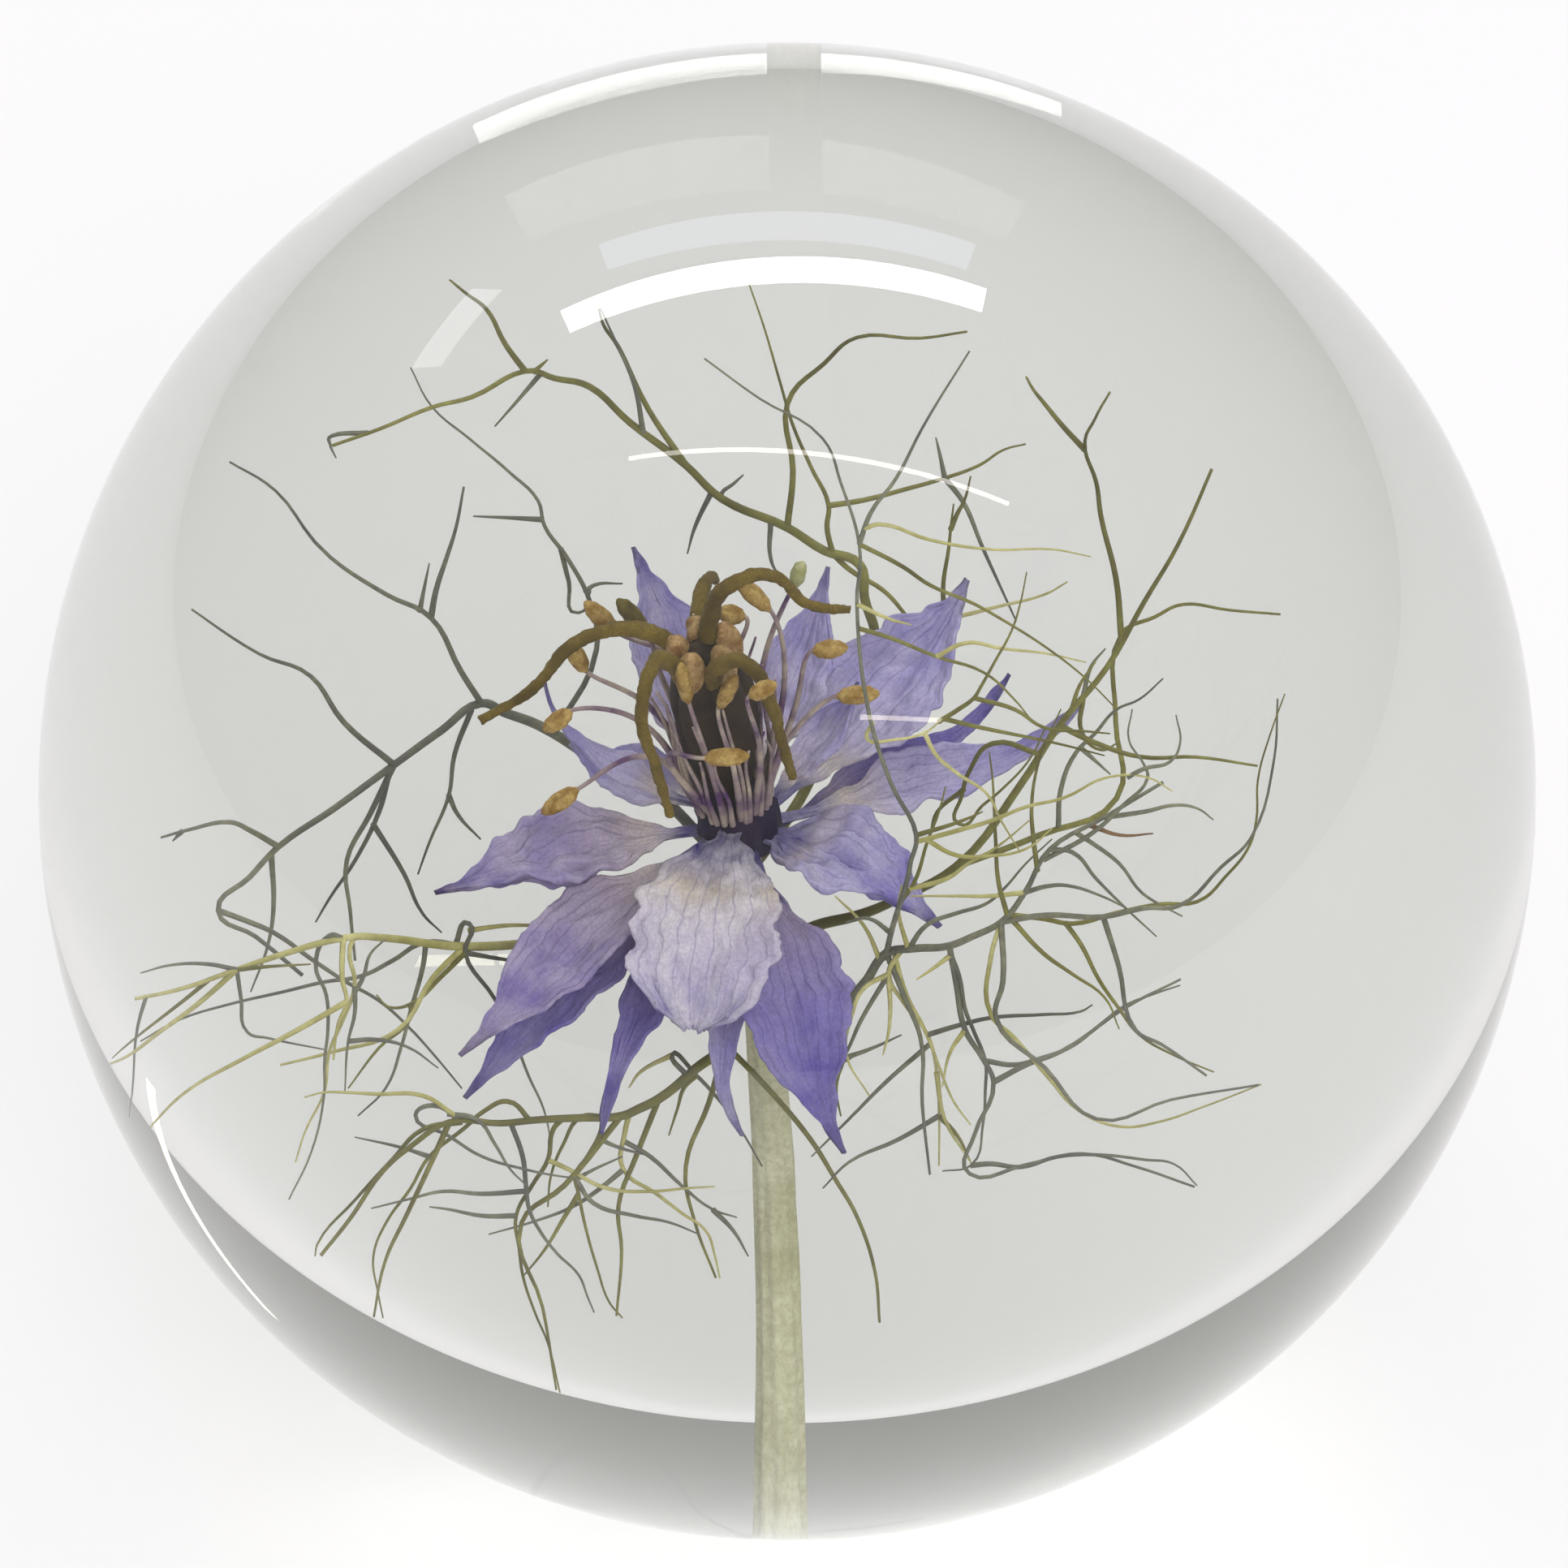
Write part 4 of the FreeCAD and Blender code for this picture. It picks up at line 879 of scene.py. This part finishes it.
# Threads traced on the photograph, in its pixels: how far the thread's end lies behind
# its start in millimetres, its finish, and the pixels that it passes. It starts on the
# nearest thread of its bract, so it has that thread's depth there.
TRACED = {
    "bract_back": [
        (0.5, "grey", [(935, 663), (950, 690), (963, 715)]),
        (1.5, "olive", [(1023, 681), (1019, 650), (1021, 623), (1000, 577), (977, 524), (962, 474),
                        (942, 405), (923, 350)]),
        (1.0, "olive", [(1021, 623), (1065, 616), (1111, 604), (1164, 589), (1207, 573), (1237, 554),
                        (1264, 547)]),
        (0.5, "grey", [(1164, 589), (1158, 560), (1153, 539)]),
        (1.0, "grey", [(1164, 589), (1187, 619), (1210, 673), (1229, 715), (1252, 765)]),
        (-1.0, "olive", [(1023, 681), (1047, 702), (1089, 728), (1112, 753), (1127, 774), (1135, 805),
                         (1154, 847)]),
        (-0.8, "straw", [(1127, 774), (1165, 763), (1200, 755), (1227, 748), (1288, 732), (1315, 717)]),
        (0.3, "straw", [(1131, 810), (1119, 847), (1097, 866), (1074, 878)]),
        (0.5, "olive", [(1160, 762), (1162, 725), (1169, 675), (1172, 645), (1175, 621)]),
        (0.3, "olive", [(1172, 655), (1180, 632), (1188, 617), (1196, 587)]),
        (0.8, "grey", [(904, 629), (889, 612), (905, 595), (916, 585)]),
        (0.5, "grey", [(866, 618), (856, 650), (847, 682)]),
        (0.6, "grey", [(663, 465), (640, 491), (610, 525)]),
        (0.4, "olive", [(655, 457), (667, 450), (675, 443)]),
        (-1.0, "grey", [(793, 522), (782, 476), (759, 422), (740, 380)]),
        (1.0, "grey", [(449, 525), (409, 537), (407, 548), (414, 564)]),
    ],
    "bract_left": [
        (5.0, "grey", [(705, 858), (735, 800), (728, 745), (698, 686), (671, 648), (663, 617),
                       (629, 583), (579, 541), (533, 502), (506, 453)]),
        (0.5, "grey", [(665, 644), (629, 638), (583, 636)]),
        (0.3, "grey", [(690, 682), (701, 717), (713, 755), (728, 728)]),
        (0.5, "grey", [(717, 732), (732, 721), (767, 719)]),
        (0.5, "grey", [(506, 763), (522, 728), (529, 694)]),
        (1.0, "grey", [(475, 962), (467, 1000), (437, 1061), (406, 1107), (389, 1136)]),
        (1.0, "grey", [(590, 885), (560, 930), (553, 980), (529, 1038), (515, 1077)]),
        (0.5, "grey", [(553, 980), (565, 1005), (592, 1034)]),
        (-0.5, "grey", [(477, 1021), (498, 1077), (521, 1126), (544, 1149)]),
        (-1.5, "grey", [(265, 1119), (307, 1136), (337, 1149), (387, 1184), (425, 1209), (467, 1233),
                        (502, 1264), (540, 1306), (569, 1341)]),
        (0.0, "grey", [(345, 1071), (337, 1119), (330, 1165), (309, 1222)]),
        (0.5, "grey", [(225, 1022), (213, 1036)]),
    ],
    "bract_front_left": [
        (1.0, "olive", [(256, 1203), (226, 1233), (173, 1274), (138, 1304)]),
        (0.5, "grey", [(291, 1191), (257, 1188), (211, 1189), (173, 1199)]),
        (-0.5, "grey", [(293, 1195), (297, 1230), (305, 1272), (330, 1279), (399, 1293)]),
        (-1.5, "grey", [(418, 1134), (406, 1153), (389, 1188), (402, 1226), (404, 1268), (400, 1306),
                        (399, 1352), (383, 1421), (356, 1478)]),
        (-1.5, "straw", [(433, 1132), (431, 1168), (437, 1214), (421, 1260), (406, 1295), (400, 1344),
                         (376, 1394), (364, 1432)]),
        (0.0, "olive", [(291, 1189), (330, 1191), (383, 1188)]),
        (2.5, "grey", [(575, 1112), (525, 1161), (483, 1184), (444, 1203), (399, 1210), (349, 1222),
                       (284, 1237), (222, 1256), (173, 1283)]),
        (-1.0, "grey", [(560, 1120), (578, 1138), (573, 1174), (609, 1230), (632, 1276), (651, 1325),
                        (670, 1367), (679, 1406)]),
        (-0.5, "olive", [(573, 1178), (544, 1203), (506, 1237), (480, 1241), (464, 1226)]),
        (-1.0, "olive", [(506, 1237), (506, 1253), (467, 1291), (429, 1341)]),
        (-1.0, "grey", [(525, 1161), (521, 1191), (506, 1245), (494, 1291), (475, 1341), (441, 1375)]),
        (-1.0, "grey", [(444, 1214), (437, 1249), (429, 1283), (425, 1344)]),
        (0.5, "grey", [(437, 1226), (448, 1203), (456, 1176), (475, 1157)]),
        (-0.5, "grey", [(437, 1283), (464, 1281), (502, 1290), (540, 1316)]),
        (0.5, "straw", [(578, 1150), (600, 1143), (640, 1140), (676, 1145), (689, 1172)]),
        (0.5, "grey", [(578, 1180), (620, 1182), (666, 1188)]),
        (0.5, "grey", [(167, 1222), (169, 1268), (163, 1344), (159, 1377)]),
    ],
    "bract_front": [
        (-0.5, "olive", [(564, 1357), (522, 1391), (483, 1429), (437, 1479), (391, 1533), (388, 1548)]),
        (-0.5, "olive", [(648, 1349), (625, 1357), (598, 1368), (571, 1391), (529, 1425), (506, 1464),
                         (476, 1506), (460, 1548), (466, 1594), (472, 1624)]),
        (0.0, "grey", [(529, 1427), (495, 1414), (437, 1401)]),
        (0.0, "grey", [(564, 1357), (533, 1362), (512, 1374), (552, 1399), (594, 1425), (648, 1441),
                       (682, 1448), (713, 1452)]),
        (-0.5, "grey", [(564, 1357), (587, 1379), (610, 1410), (629, 1441), (648, 1460)]),
        (0.0, "straw", [(564, 1355), (521, 1350), (464, 1348), (425, 1346), (399, 1346), (375, 1352)]),
        (-0.5, "olive", [(686, 1347), (682, 1391), (675, 1429), (656, 1460), (636, 1498), (640, 1540),
                         (644, 1571), (659, 1617), (675, 1655), (690, 1716)]),
        (-0.5, "grey", [(636, 1391), (644, 1425), (648, 1460), (652, 1490), (663, 1513), (686, 1544),
                        (713, 1571), (724, 1598), (732, 1617)]),
        (0.0, "grey", [(636, 1500), (594, 1498), (552, 1490), (529, 1487)]),
        (-0.5, "grey", [(648, 1466), (594, 1471), (545, 1468), (506, 1477), (457, 1489)]),
        (-1.0, "straw", [(767, 1345), (770, 1395), (768, 1441), (809, 1471), (839, 1494), (870, 1517),
                         (881, 1548), (887, 1575)]),
        (-0.5, "grey", [(768, 1441), (740, 1464), (705, 1487), (667, 1502), (602, 1521)]),
        (0.0, "grey", [(770, 1402), (801, 1425), (839, 1460), (878, 1490), (908, 1500)]),
        (-0.5, "grey", [(878, 1490), (904, 1517), (922, 1548)]),
        (-1.0, "olive", [(736, 1349), (740, 1395), (724, 1425), (709, 1448), (713, 1471), (721, 1510),
                         (736, 1563), (751, 1605), (767, 1624)]),
        (0.5, "grey", [(740, 1402), (763, 1414), (805, 1425)]),
        (-0.5, "grey", [(709, 1452), (732, 1483), (782, 1498), (824, 1506), (862, 1521)]),
        (0.0, "grey", [(709, 1454), (724, 1445), (767, 1425)]),
        (-0.5, "olive", [(713, 1471), (694, 1502), (671, 1540), (646, 1571)]),
        (0.5, "straw", [(682, 1429), (701, 1441), (747, 1464), (801, 1468), (847, 1464), (881, 1462)]),
        (-0.5, "olive", [(744, 1345), (717, 1376), (694, 1410), (679, 1448), (675, 1487)]),
        (1.0, "grey", [(812, 1290), (828, 1300), (858, 1325), (889, 1359), (912, 1391), (939, 1437)]),
        (-0.5, "olive", [(855, 1322), (843, 1340), (835, 1365), (824, 1399)]),
        (1.0, "straw", [(800, 1300), (790, 1320), (775, 1340)]),
    ],
    "bract_right_front": [
        (-0.5, "grey", [(1118, 1165), (1143, 1139), (1179, 1125), (1214, 1114), (1236, 1096),
                        (1264, 1064), (1296, 1034)]),
        (-0.5, "grey", [(1179, 1172), (1182, 1204), (1189, 1243), (1200, 1271), (1214, 1307),
                        (1214, 1343), (1211, 1386), (1196, 1436), (1161, 1443)]),
        (-0.5, "grey", [(1196, 1436), (1221, 1434), (1257, 1438), (1304, 1425), (1357, 1423),
                        (1411, 1429), (1446, 1434), (1475, 1461)]),
        (0.0, "straw", [(1105, 1165), (1095, 1200), (1114, 1236), (1143, 1275), (1154, 1321),
                        (1157, 1375), (1157, 1436)]),
        (-0.5, "straw", [(1104, 1175), (1118, 1229), (1139, 1268), (1157, 1314), (1175, 1357),
                         (1196, 1386)]),
        (-0.5, "straw", [(1157, 1321), (1164, 1379), (1196, 1432)]),
        (0.0, "grey", [(1154, 1375), (1107, 1404), (1046, 1432), (1014, 1464)]),
        (0.5, "grey", [(1143, 1285), (1093, 1332), (1046, 1379), (1000, 1425)]),
        (0.0, "grey", [(1146, 1275), (1179, 1264), (1221, 1254), (1286, 1250), (1332, 1246),
                       (1346, 1238)]),
        (-0.5, "straw", [(1193, 1268), (1171, 1296), (1161, 1339)]),
        (0.0, "grey", [(1216, 1307), (1250, 1312), (1279, 1305), (1321, 1289), (1357, 1261),
                       (1386, 1239), (1421, 1225), (1454, 1214)]),
        (-1.0, "straw", [(1229, 1136), (1221, 1179), (1221, 1250), (1250, 1279), (1293, 1329),
                         (1329, 1368), (1379, 1388), (1429, 1382), (1482, 1364), (1554, 1336)]),
        (0.5, "olive", [(1243, 1129), (1286, 1132), (1321, 1138), (1375, 1125), (1429, 1114),
                        (1475, 1111), (1511, 1079), (1539, 1043), (1548, 1010), (1550, 960), (1565, 905),
                        (1583, 855)]),
        (-0.5, "olive", [(1314, 1138), (1332, 1164), (1354, 1207), (1379, 1243), (1404, 1275),
                         (1446, 1300), (1496, 1321)]),
        (-0.5, "olive", [(1246, 1132), (1286, 1175), (1321, 1200), (1361, 1229), (1379, 1268)]),
        (0.0, "grey", [(1325, 1034), (1346, 1039), (1379, 1064), (1407, 1100), (1436, 1118),
                       (1457, 1129)]),
        (-0.3, "grey", [(1300, 1040), (1321, 1050), (1350, 1082), (1386, 1118), (1425, 1154)]),
        (-0.3, "grey", [(1260, 1100), (1290, 1092), (1314, 1091), (1357, 1104), (1386, 1118)]),
        (0.3, "straw", [(1260, 1104), (1220, 1104), (1179, 1104), (1121, 1104)]),
        (-0.5, "olive", [(1229, 1120), (1230, 1085), (1227, 1040), (1225, 1000), (1223, 960),
                         (1219, 927)]),
        (-0.5, "olive", [(1277, 1070), (1273, 1030), (1271, 1000), (1276, 954), (1288, 916),
                         (1307, 874)]),
        (0.3, "brown", [(1343, 1024), (1380, 1029), (1421, 1027)]),
        (0.3, "grey", [(1364, 1005), (1411, 1000), (1449, 992), (1475, 996), (1495, 1010)]),
        (-0.5, "straw", [(1131, 1040), (1181, 1023), (1219, 1012), (1265, 994), (1311, 983), (1364, 958),
                         (1414, 958), (1445, 975)]),
        (0.0, "straw", [(1136, 1036), (1179, 1054), (1214, 1055), (1264, 1046), (1296, 1021)]),
        (0.2, "olive", [(1129, 1029), (1186, 1011), (1211, 1000)]),
        (0.5, "olive", [(1111, 1118), (1125, 1090), (1143, 1036), (1157, 1000), (1165, 969)]),
        (0.2, "straw", [(1118, 1165), (1107, 1120), (1111, 1090)]),
        (-0.3, "straw", [(1125, 1100), (1168, 1082), (1193, 1064), (1229, 1043), (1268, 1011)]),
        (0.0, "grey", [(1095, 1200), (1061, 1257), (1039, 1304), (1000, 1357)]),
        (0.5, "olive", [(1039, 1304), (1030, 1340), (1036, 1375)]),
        (-0.3, "straw", [(1093, 1200), (1064, 1218), (1050, 1250), (1043, 1300), (1071, 1350)]),
        (0.5, "grey", [(1043, 1304), (1071, 1293), (1111, 1275)]),
        (-0.5, "straw", [(1095, 1205), (1096, 1264), (1088, 1300)]),
        (0.5, "olive", [(1015, 1340), (1030, 1315), (1050, 1303)]),
        (-0.5, "straw", [(1171, 1179), (1150, 1193), (1129, 1207)]),
        (-0.5, "straw", [(1071, 1168), (1064, 1140), (1029, 1104)]),
        (0.5, "grey", [(1093, 1150), (1071, 1132), (1043, 1136)]),
        (0.3, "olive", [(1157, 1375), (1180, 1400), (1196, 1432)]),
        (-1.0, "olive", [(1062, 671), (1112, 698), (1146, 721), (1200, 744), (1234, 763), (1288, 797),
                         (1338, 836), (1376, 874)]),
        (-0.5, "straw", [(1069, 650), (1084, 646), (1145, 665), (1222, 677), (1298, 677), (1344, 686)]),
        (-0.5, "straw", [(1054, 755), (1097, 763), (1123, 770)]),
        (0.0, "olive", [(1054, 767), (1097, 786), (1154, 809), (1211, 828), (1250, 862), (1269, 885)]),
        (0.0, "straw", [(1150, 800), (1192, 792), (1234, 799), (1288, 805), (1338, 816)]),
        (0.3, "straw", [(1062, 885), (1070, 912), (1097, 912), (1139, 903), (1162, 885)]),
        (0.5, "olive", [(1158, 889), (1181, 874), (1200, 860), (1208, 847), (1227, 813), (1246, 778),
                        (1257, 744), (1265, 705)]),
        (0.3, "straw", [(1142, 901), (1154, 931), (1181, 954), (1215, 977), (1234, 1012), (1257, 1050)]),
        (0.0, "olive", [(1204, 862), (1250, 874), (1288, 897), (1338, 901), (1368, 904)]),
        (0.0, "olive", [(1165, 885), (1211, 897), (1265, 908), (1311, 918), (1361, 931)]),
        (0.5, "grey", [(1288, 1058), (1345, 1027), (1384, 992), (1414, 958), (1410, 943), (1391, 912),
                       (1395, 874)]),
        (0.5, "grey", [(1395, 956), (1410, 947), (1441, 939), (1454, 916), (1449, 881)]),
    ],
    "bract_right": [
        (-1.0, "olive", [(1250, 901), (1223, 916), (1196, 947), (1185, 981), (1181, 1015), (1211, 992),
                         (1234, 973), (1269, 935), (1288, 897)]),
        (0.5, "grey", [(1299, 1012), (1307, 973), (1326, 927), (1349, 904), (1376, 874), (1403, 862),
                       (1433, 836)]),
        (0.0, "olive", [(1322, 858), (1334, 904), (1357, 924), (1376, 916)]),
        (0.0, "grey", [(1341, 927), (1368, 954)]),
        (0.5, "olive", [(1165, 969), (1155, 1000), (1146, 1027)]),
        (0.5, "grey", [(1334, 850), (1345, 820), (1362, 799)]),
        (0.3, "olive", [(1300, 868), (1330, 845), (1350, 815)]),
    ],
}
RIB_RADII = (0.22, 0.07)
THREAD_RADII = (0.12, 0.045)
TRACED_RADII = (0.105, 0.03)
BRACT_CLEARANCE = 1.6       # least resin between a thread and the ball's face
BRACT_FLOOR = 1.0           # least height of a thread above the base
BRACT_KINK = 0.05           # share of a run that its kink moves off the line
BRACT_FINISH = {"bract_back": "olive", "bract_left": "grey", "bract_front_left": "straw",
                "bract_front": "olive", "bract_right_front": "grey", "bract_right": "olive"}


def inside_ball(point):
    """The point, drawn in to keep clear of the ball's face and base."""
    middle = Vector((0, 0, BALL_CENTRE_HEIGHT))
    out = Vector(point) - middle
    reach = BALL_RADIUS - BRACT_CLEARANCE
    if out.length > reach:
        out = out.normalized() * reach
    point = middle + out
    point.z = max(point.z, BRACT_FLOOR)
    return point


def stem_point(drop):
    """A point on the stem's middle line, that far below its top."""
    bend = STEM_BENDS[-1]
    return NECK + (bend - NECK) * (drop / (NECK.z - bend.z))


def crooked(points, chance):
    """A route with a small kink between each two of its points."""
    route = [Vector(points[0])]
    for start, end in zip(points, points[1:]):
        start, end = Vector(start), Vector(end)
        jog = Vector([chance.uniform(-1, 1) for _ in range(3)]) * (end - start).length * BRACT_KINK
        route += [start.lerp(end, chance.uniform(0.4, 0.6)) + jog, end]
    return route


def traced_route(pixels, set_back, routes):
    """A traced thread as points in the ball: it starts on the nearest of the routes."""
    entry, way = sight_line(*pixels[0])
    starts = []
    for points, _ in routes:
        for low, high in zip(points, points[1:]):
            for step in range(4):
                spot = Vector(low).lerp(Vector(high), step / 4)
                starts.append(((spot - entry).cross(way).length, tuple(spot)))
    root = Vector(min(starts)[1])
    last = len(pixels) - 1
    return [root] + [inside_ball(seen_at(pixel, root.y + set_back * place / last))
                     for place, pixel in enumerate(pixels) if place]


def make_bract(name, drop, arms, skins):
    """A forked, thread-like leaf: its rib, its side threads and the traced ones."""
    chance = random.Random(name)
    arms = [[from_neck(point) for point in arm] for arm in arms]
    rib = crooked([stem_point(drop)] + arms[0], chance)
    routes = [(rib, taper(*RIB_RADII, len(rib)))]
    for arm in arms[1:]:
        thread = crooked(arm, chance)
        routes.append((thread, taper(*THREAD_RADII, len(thread))))
    grown = {BRACT_FINISH[name]: list(routes)}
    for set_back, finish, pixels in TRACED[name]:
        thread = traced_route(pixels, set_back, routes)
        routes.append((thread, taper(*TRACED_RADII, len(thread))))
        grown.setdefault(finish, []).append(routes[-1])
    strands = [clothe(tube(group), skins["thread_" + finish]) for finish, group in grown.items()]
    return finish_piece(join_pieces(strands), name + "_threads", "bract", name)


# The stage: floor, world, lamps and the camera, in metres
FLOOR_RADIUS = 2.2
FLOOR_GAP = 0.0002
FLOOR_COLOUR = srgb(232, 231, 232)
SKY = [(0.0, srgb(150, 149, 147)), (0.4, srgb(168, 168, 167)), (0.9, srgb(206, 206, 206))]

# Each lamp: its place, its size, its power in watts and its colour
LAMPS = {
    "strip_lamp": ((-0.05, 0.92, 1.5), (1.5, 0.16), 9, (1, 1, 1)),
    "window_light": ((0.0, 1.3, 1.5), (1.35, 0.22), 1.8, (0.72, 0.78, 1.0)),
    "side_light": ((-1.45, 1.4, 1.5), (0.5, 0.2), 0.7, (1, 1, 1)),
    "ceiling_strip": ((0.115, -0.01, 1.5), (0.02, 1.38), 0.8, (1.0, 0.93, 0.9)),
    "small_lamp": ((0.555, -1.2, 1.5), (0.42, 0.03), 0.36, (1.0, 0.93, 0.75)),
    "front_fill": ((0.5, -1.6, 1.6), (1.4, 1.4), 38, (1.0, 0.985, 0.99)),
}


def make_stage():
    bpy.ops.object.select_all(action="DESELECT")
    bpy.ops.mesh.primitive_circle_add(vertices=96, radius=FLOOR_RADIUS, fill_type="NGON",
                                      location=(0, 0, -FLOOR_GAP))
    floor = settle(bpy.context.object)
    floor.name = "floor"
    clothe(floor, stage_material("floor_paper", FLOOR_COLOUR))


def make_world():
    """Plain soft light: pale overhead, falling to grey at the horizon."""
    world = bpy.data.worlds.new("studio")
    bpy.context.scene.world = world
    world.use_nodes = True
    tree = world.node_tree
    place = put(tree, "ShaderNodeTexCoord")
    split = put(tree, "ShaderNodeSeparateXYZ")
    join(tree, (place.outputs["Generated"], split.inputs["Vector"]))
    join(tree, (ramp(tree, split.outputs["Z"], SKY), tree.nodes["Background"].inputs["Color"]))
    tree.nodes["Background"].inputs["Strength"].default_value = 1.0


def make_lamp(name, place, size, power, colour):
    """A rectangular soft lamp that faces the middle of the ball."""
    lamp = bpy.data.lights.new(name, "AREA")
    lamp.shape = "RECTANGLE"
    lamp.size, lamp.size_y = size
    lamp.energy = power
    lamp.color = colour
    obj = bpy.data.objects.new(name, lamp)
    bpy.context.scene.collection.objects.link(obj)
    obj.location = place
    aim = Vector((0, 0, BALL_CENTRE_HEIGHT * MM)) - Vector(place)
    obj.rotation_euler = aim.to_track_quat("-Z", "Y").to_euler()
    return obj


def make_lamps():
    """The small lamp looks straight down, and the fill has no reflection in the resin."""
    lamps = {name: make_lamp(name, *numbers) for name, numbers in LAMPS.items()}
    lamps["small_lamp"].rotation_euler = (0, 0, 0)
    lamps["front_fill"].visible_glossy = False
    lamps["front_fill"].visible_transmission = False


def make_camera():
    camera = bpy.data.cameras.new("camera")
    camera.lens = CAMERA_LENS
    camera.sensor_width = CAMERA_SENSOR
    camera.clip_start = 0.01
    camera.clip_end = 20
    camera.shift_x = BALL_LEFT_OF_MIDDLE / PHOTO_SIZE
    camera.shift_y = BALL_BELOW_MIDDLE / PHOTO_SIZE
    obj = bpy.data.objects.new("camera", camera)
    bpy.context.scene.collection.objects.link(obj)
    back = Vector((0, -math.cos(CAMERA_ELEVATION), math.sin(CAMERA_ELEVATION)))
    obj.location = metres(Vector((0, 0, BALL_CENTRE_HEIGHT)) + back * CAMERA_DISTANCE)
    obj.rotation_euler = (math.pi / 2 - CAMERA_ELEVATION, 0, 0)
    bpy.context.scene.camera = obj


def main():
    fibre = dried_fibre_group()
    veins = sepal_veins_group()
    petals = {name: sepal_material("sepal_" + name, fibre, veins, *numbers)
              for name, numbers in SEPAL_FINISHES.items()}
    skins = {name: plant_material(name, fibre, *numbers) for name, numbers in PLANT_FINISHES.items()}
    make_ball(resin_material())
    for name, numbers in SEPALS.items():
        make_sepal(name, numbers, petals)
    make_stem(skins["dried_stalk"])
    make_knob(skins["flower_base"])
    make_capsule(skins["capsule_skin"], skins["capsule_crown"])
    for name, points in STYLES.items():
        make_style(name, points, skins["style_skin"])
    for place, (bend, foot, tip, finish) in enumerate(STAMENS):
        make_stamen(place, bend, foot, tip, skins["filament_skin"], skins["anther_" + finish])
    make_bare_filaments(skins["filament_skin"])
    for name, (drop, arms) in BRACTS.items():
        make_bract(name, drop, arms, skins)
    make_stage()
    make_world()
    make_lamps()
    make_camera()
    bpy.context.scene.view_settings.view_transform = "Standard"


main()
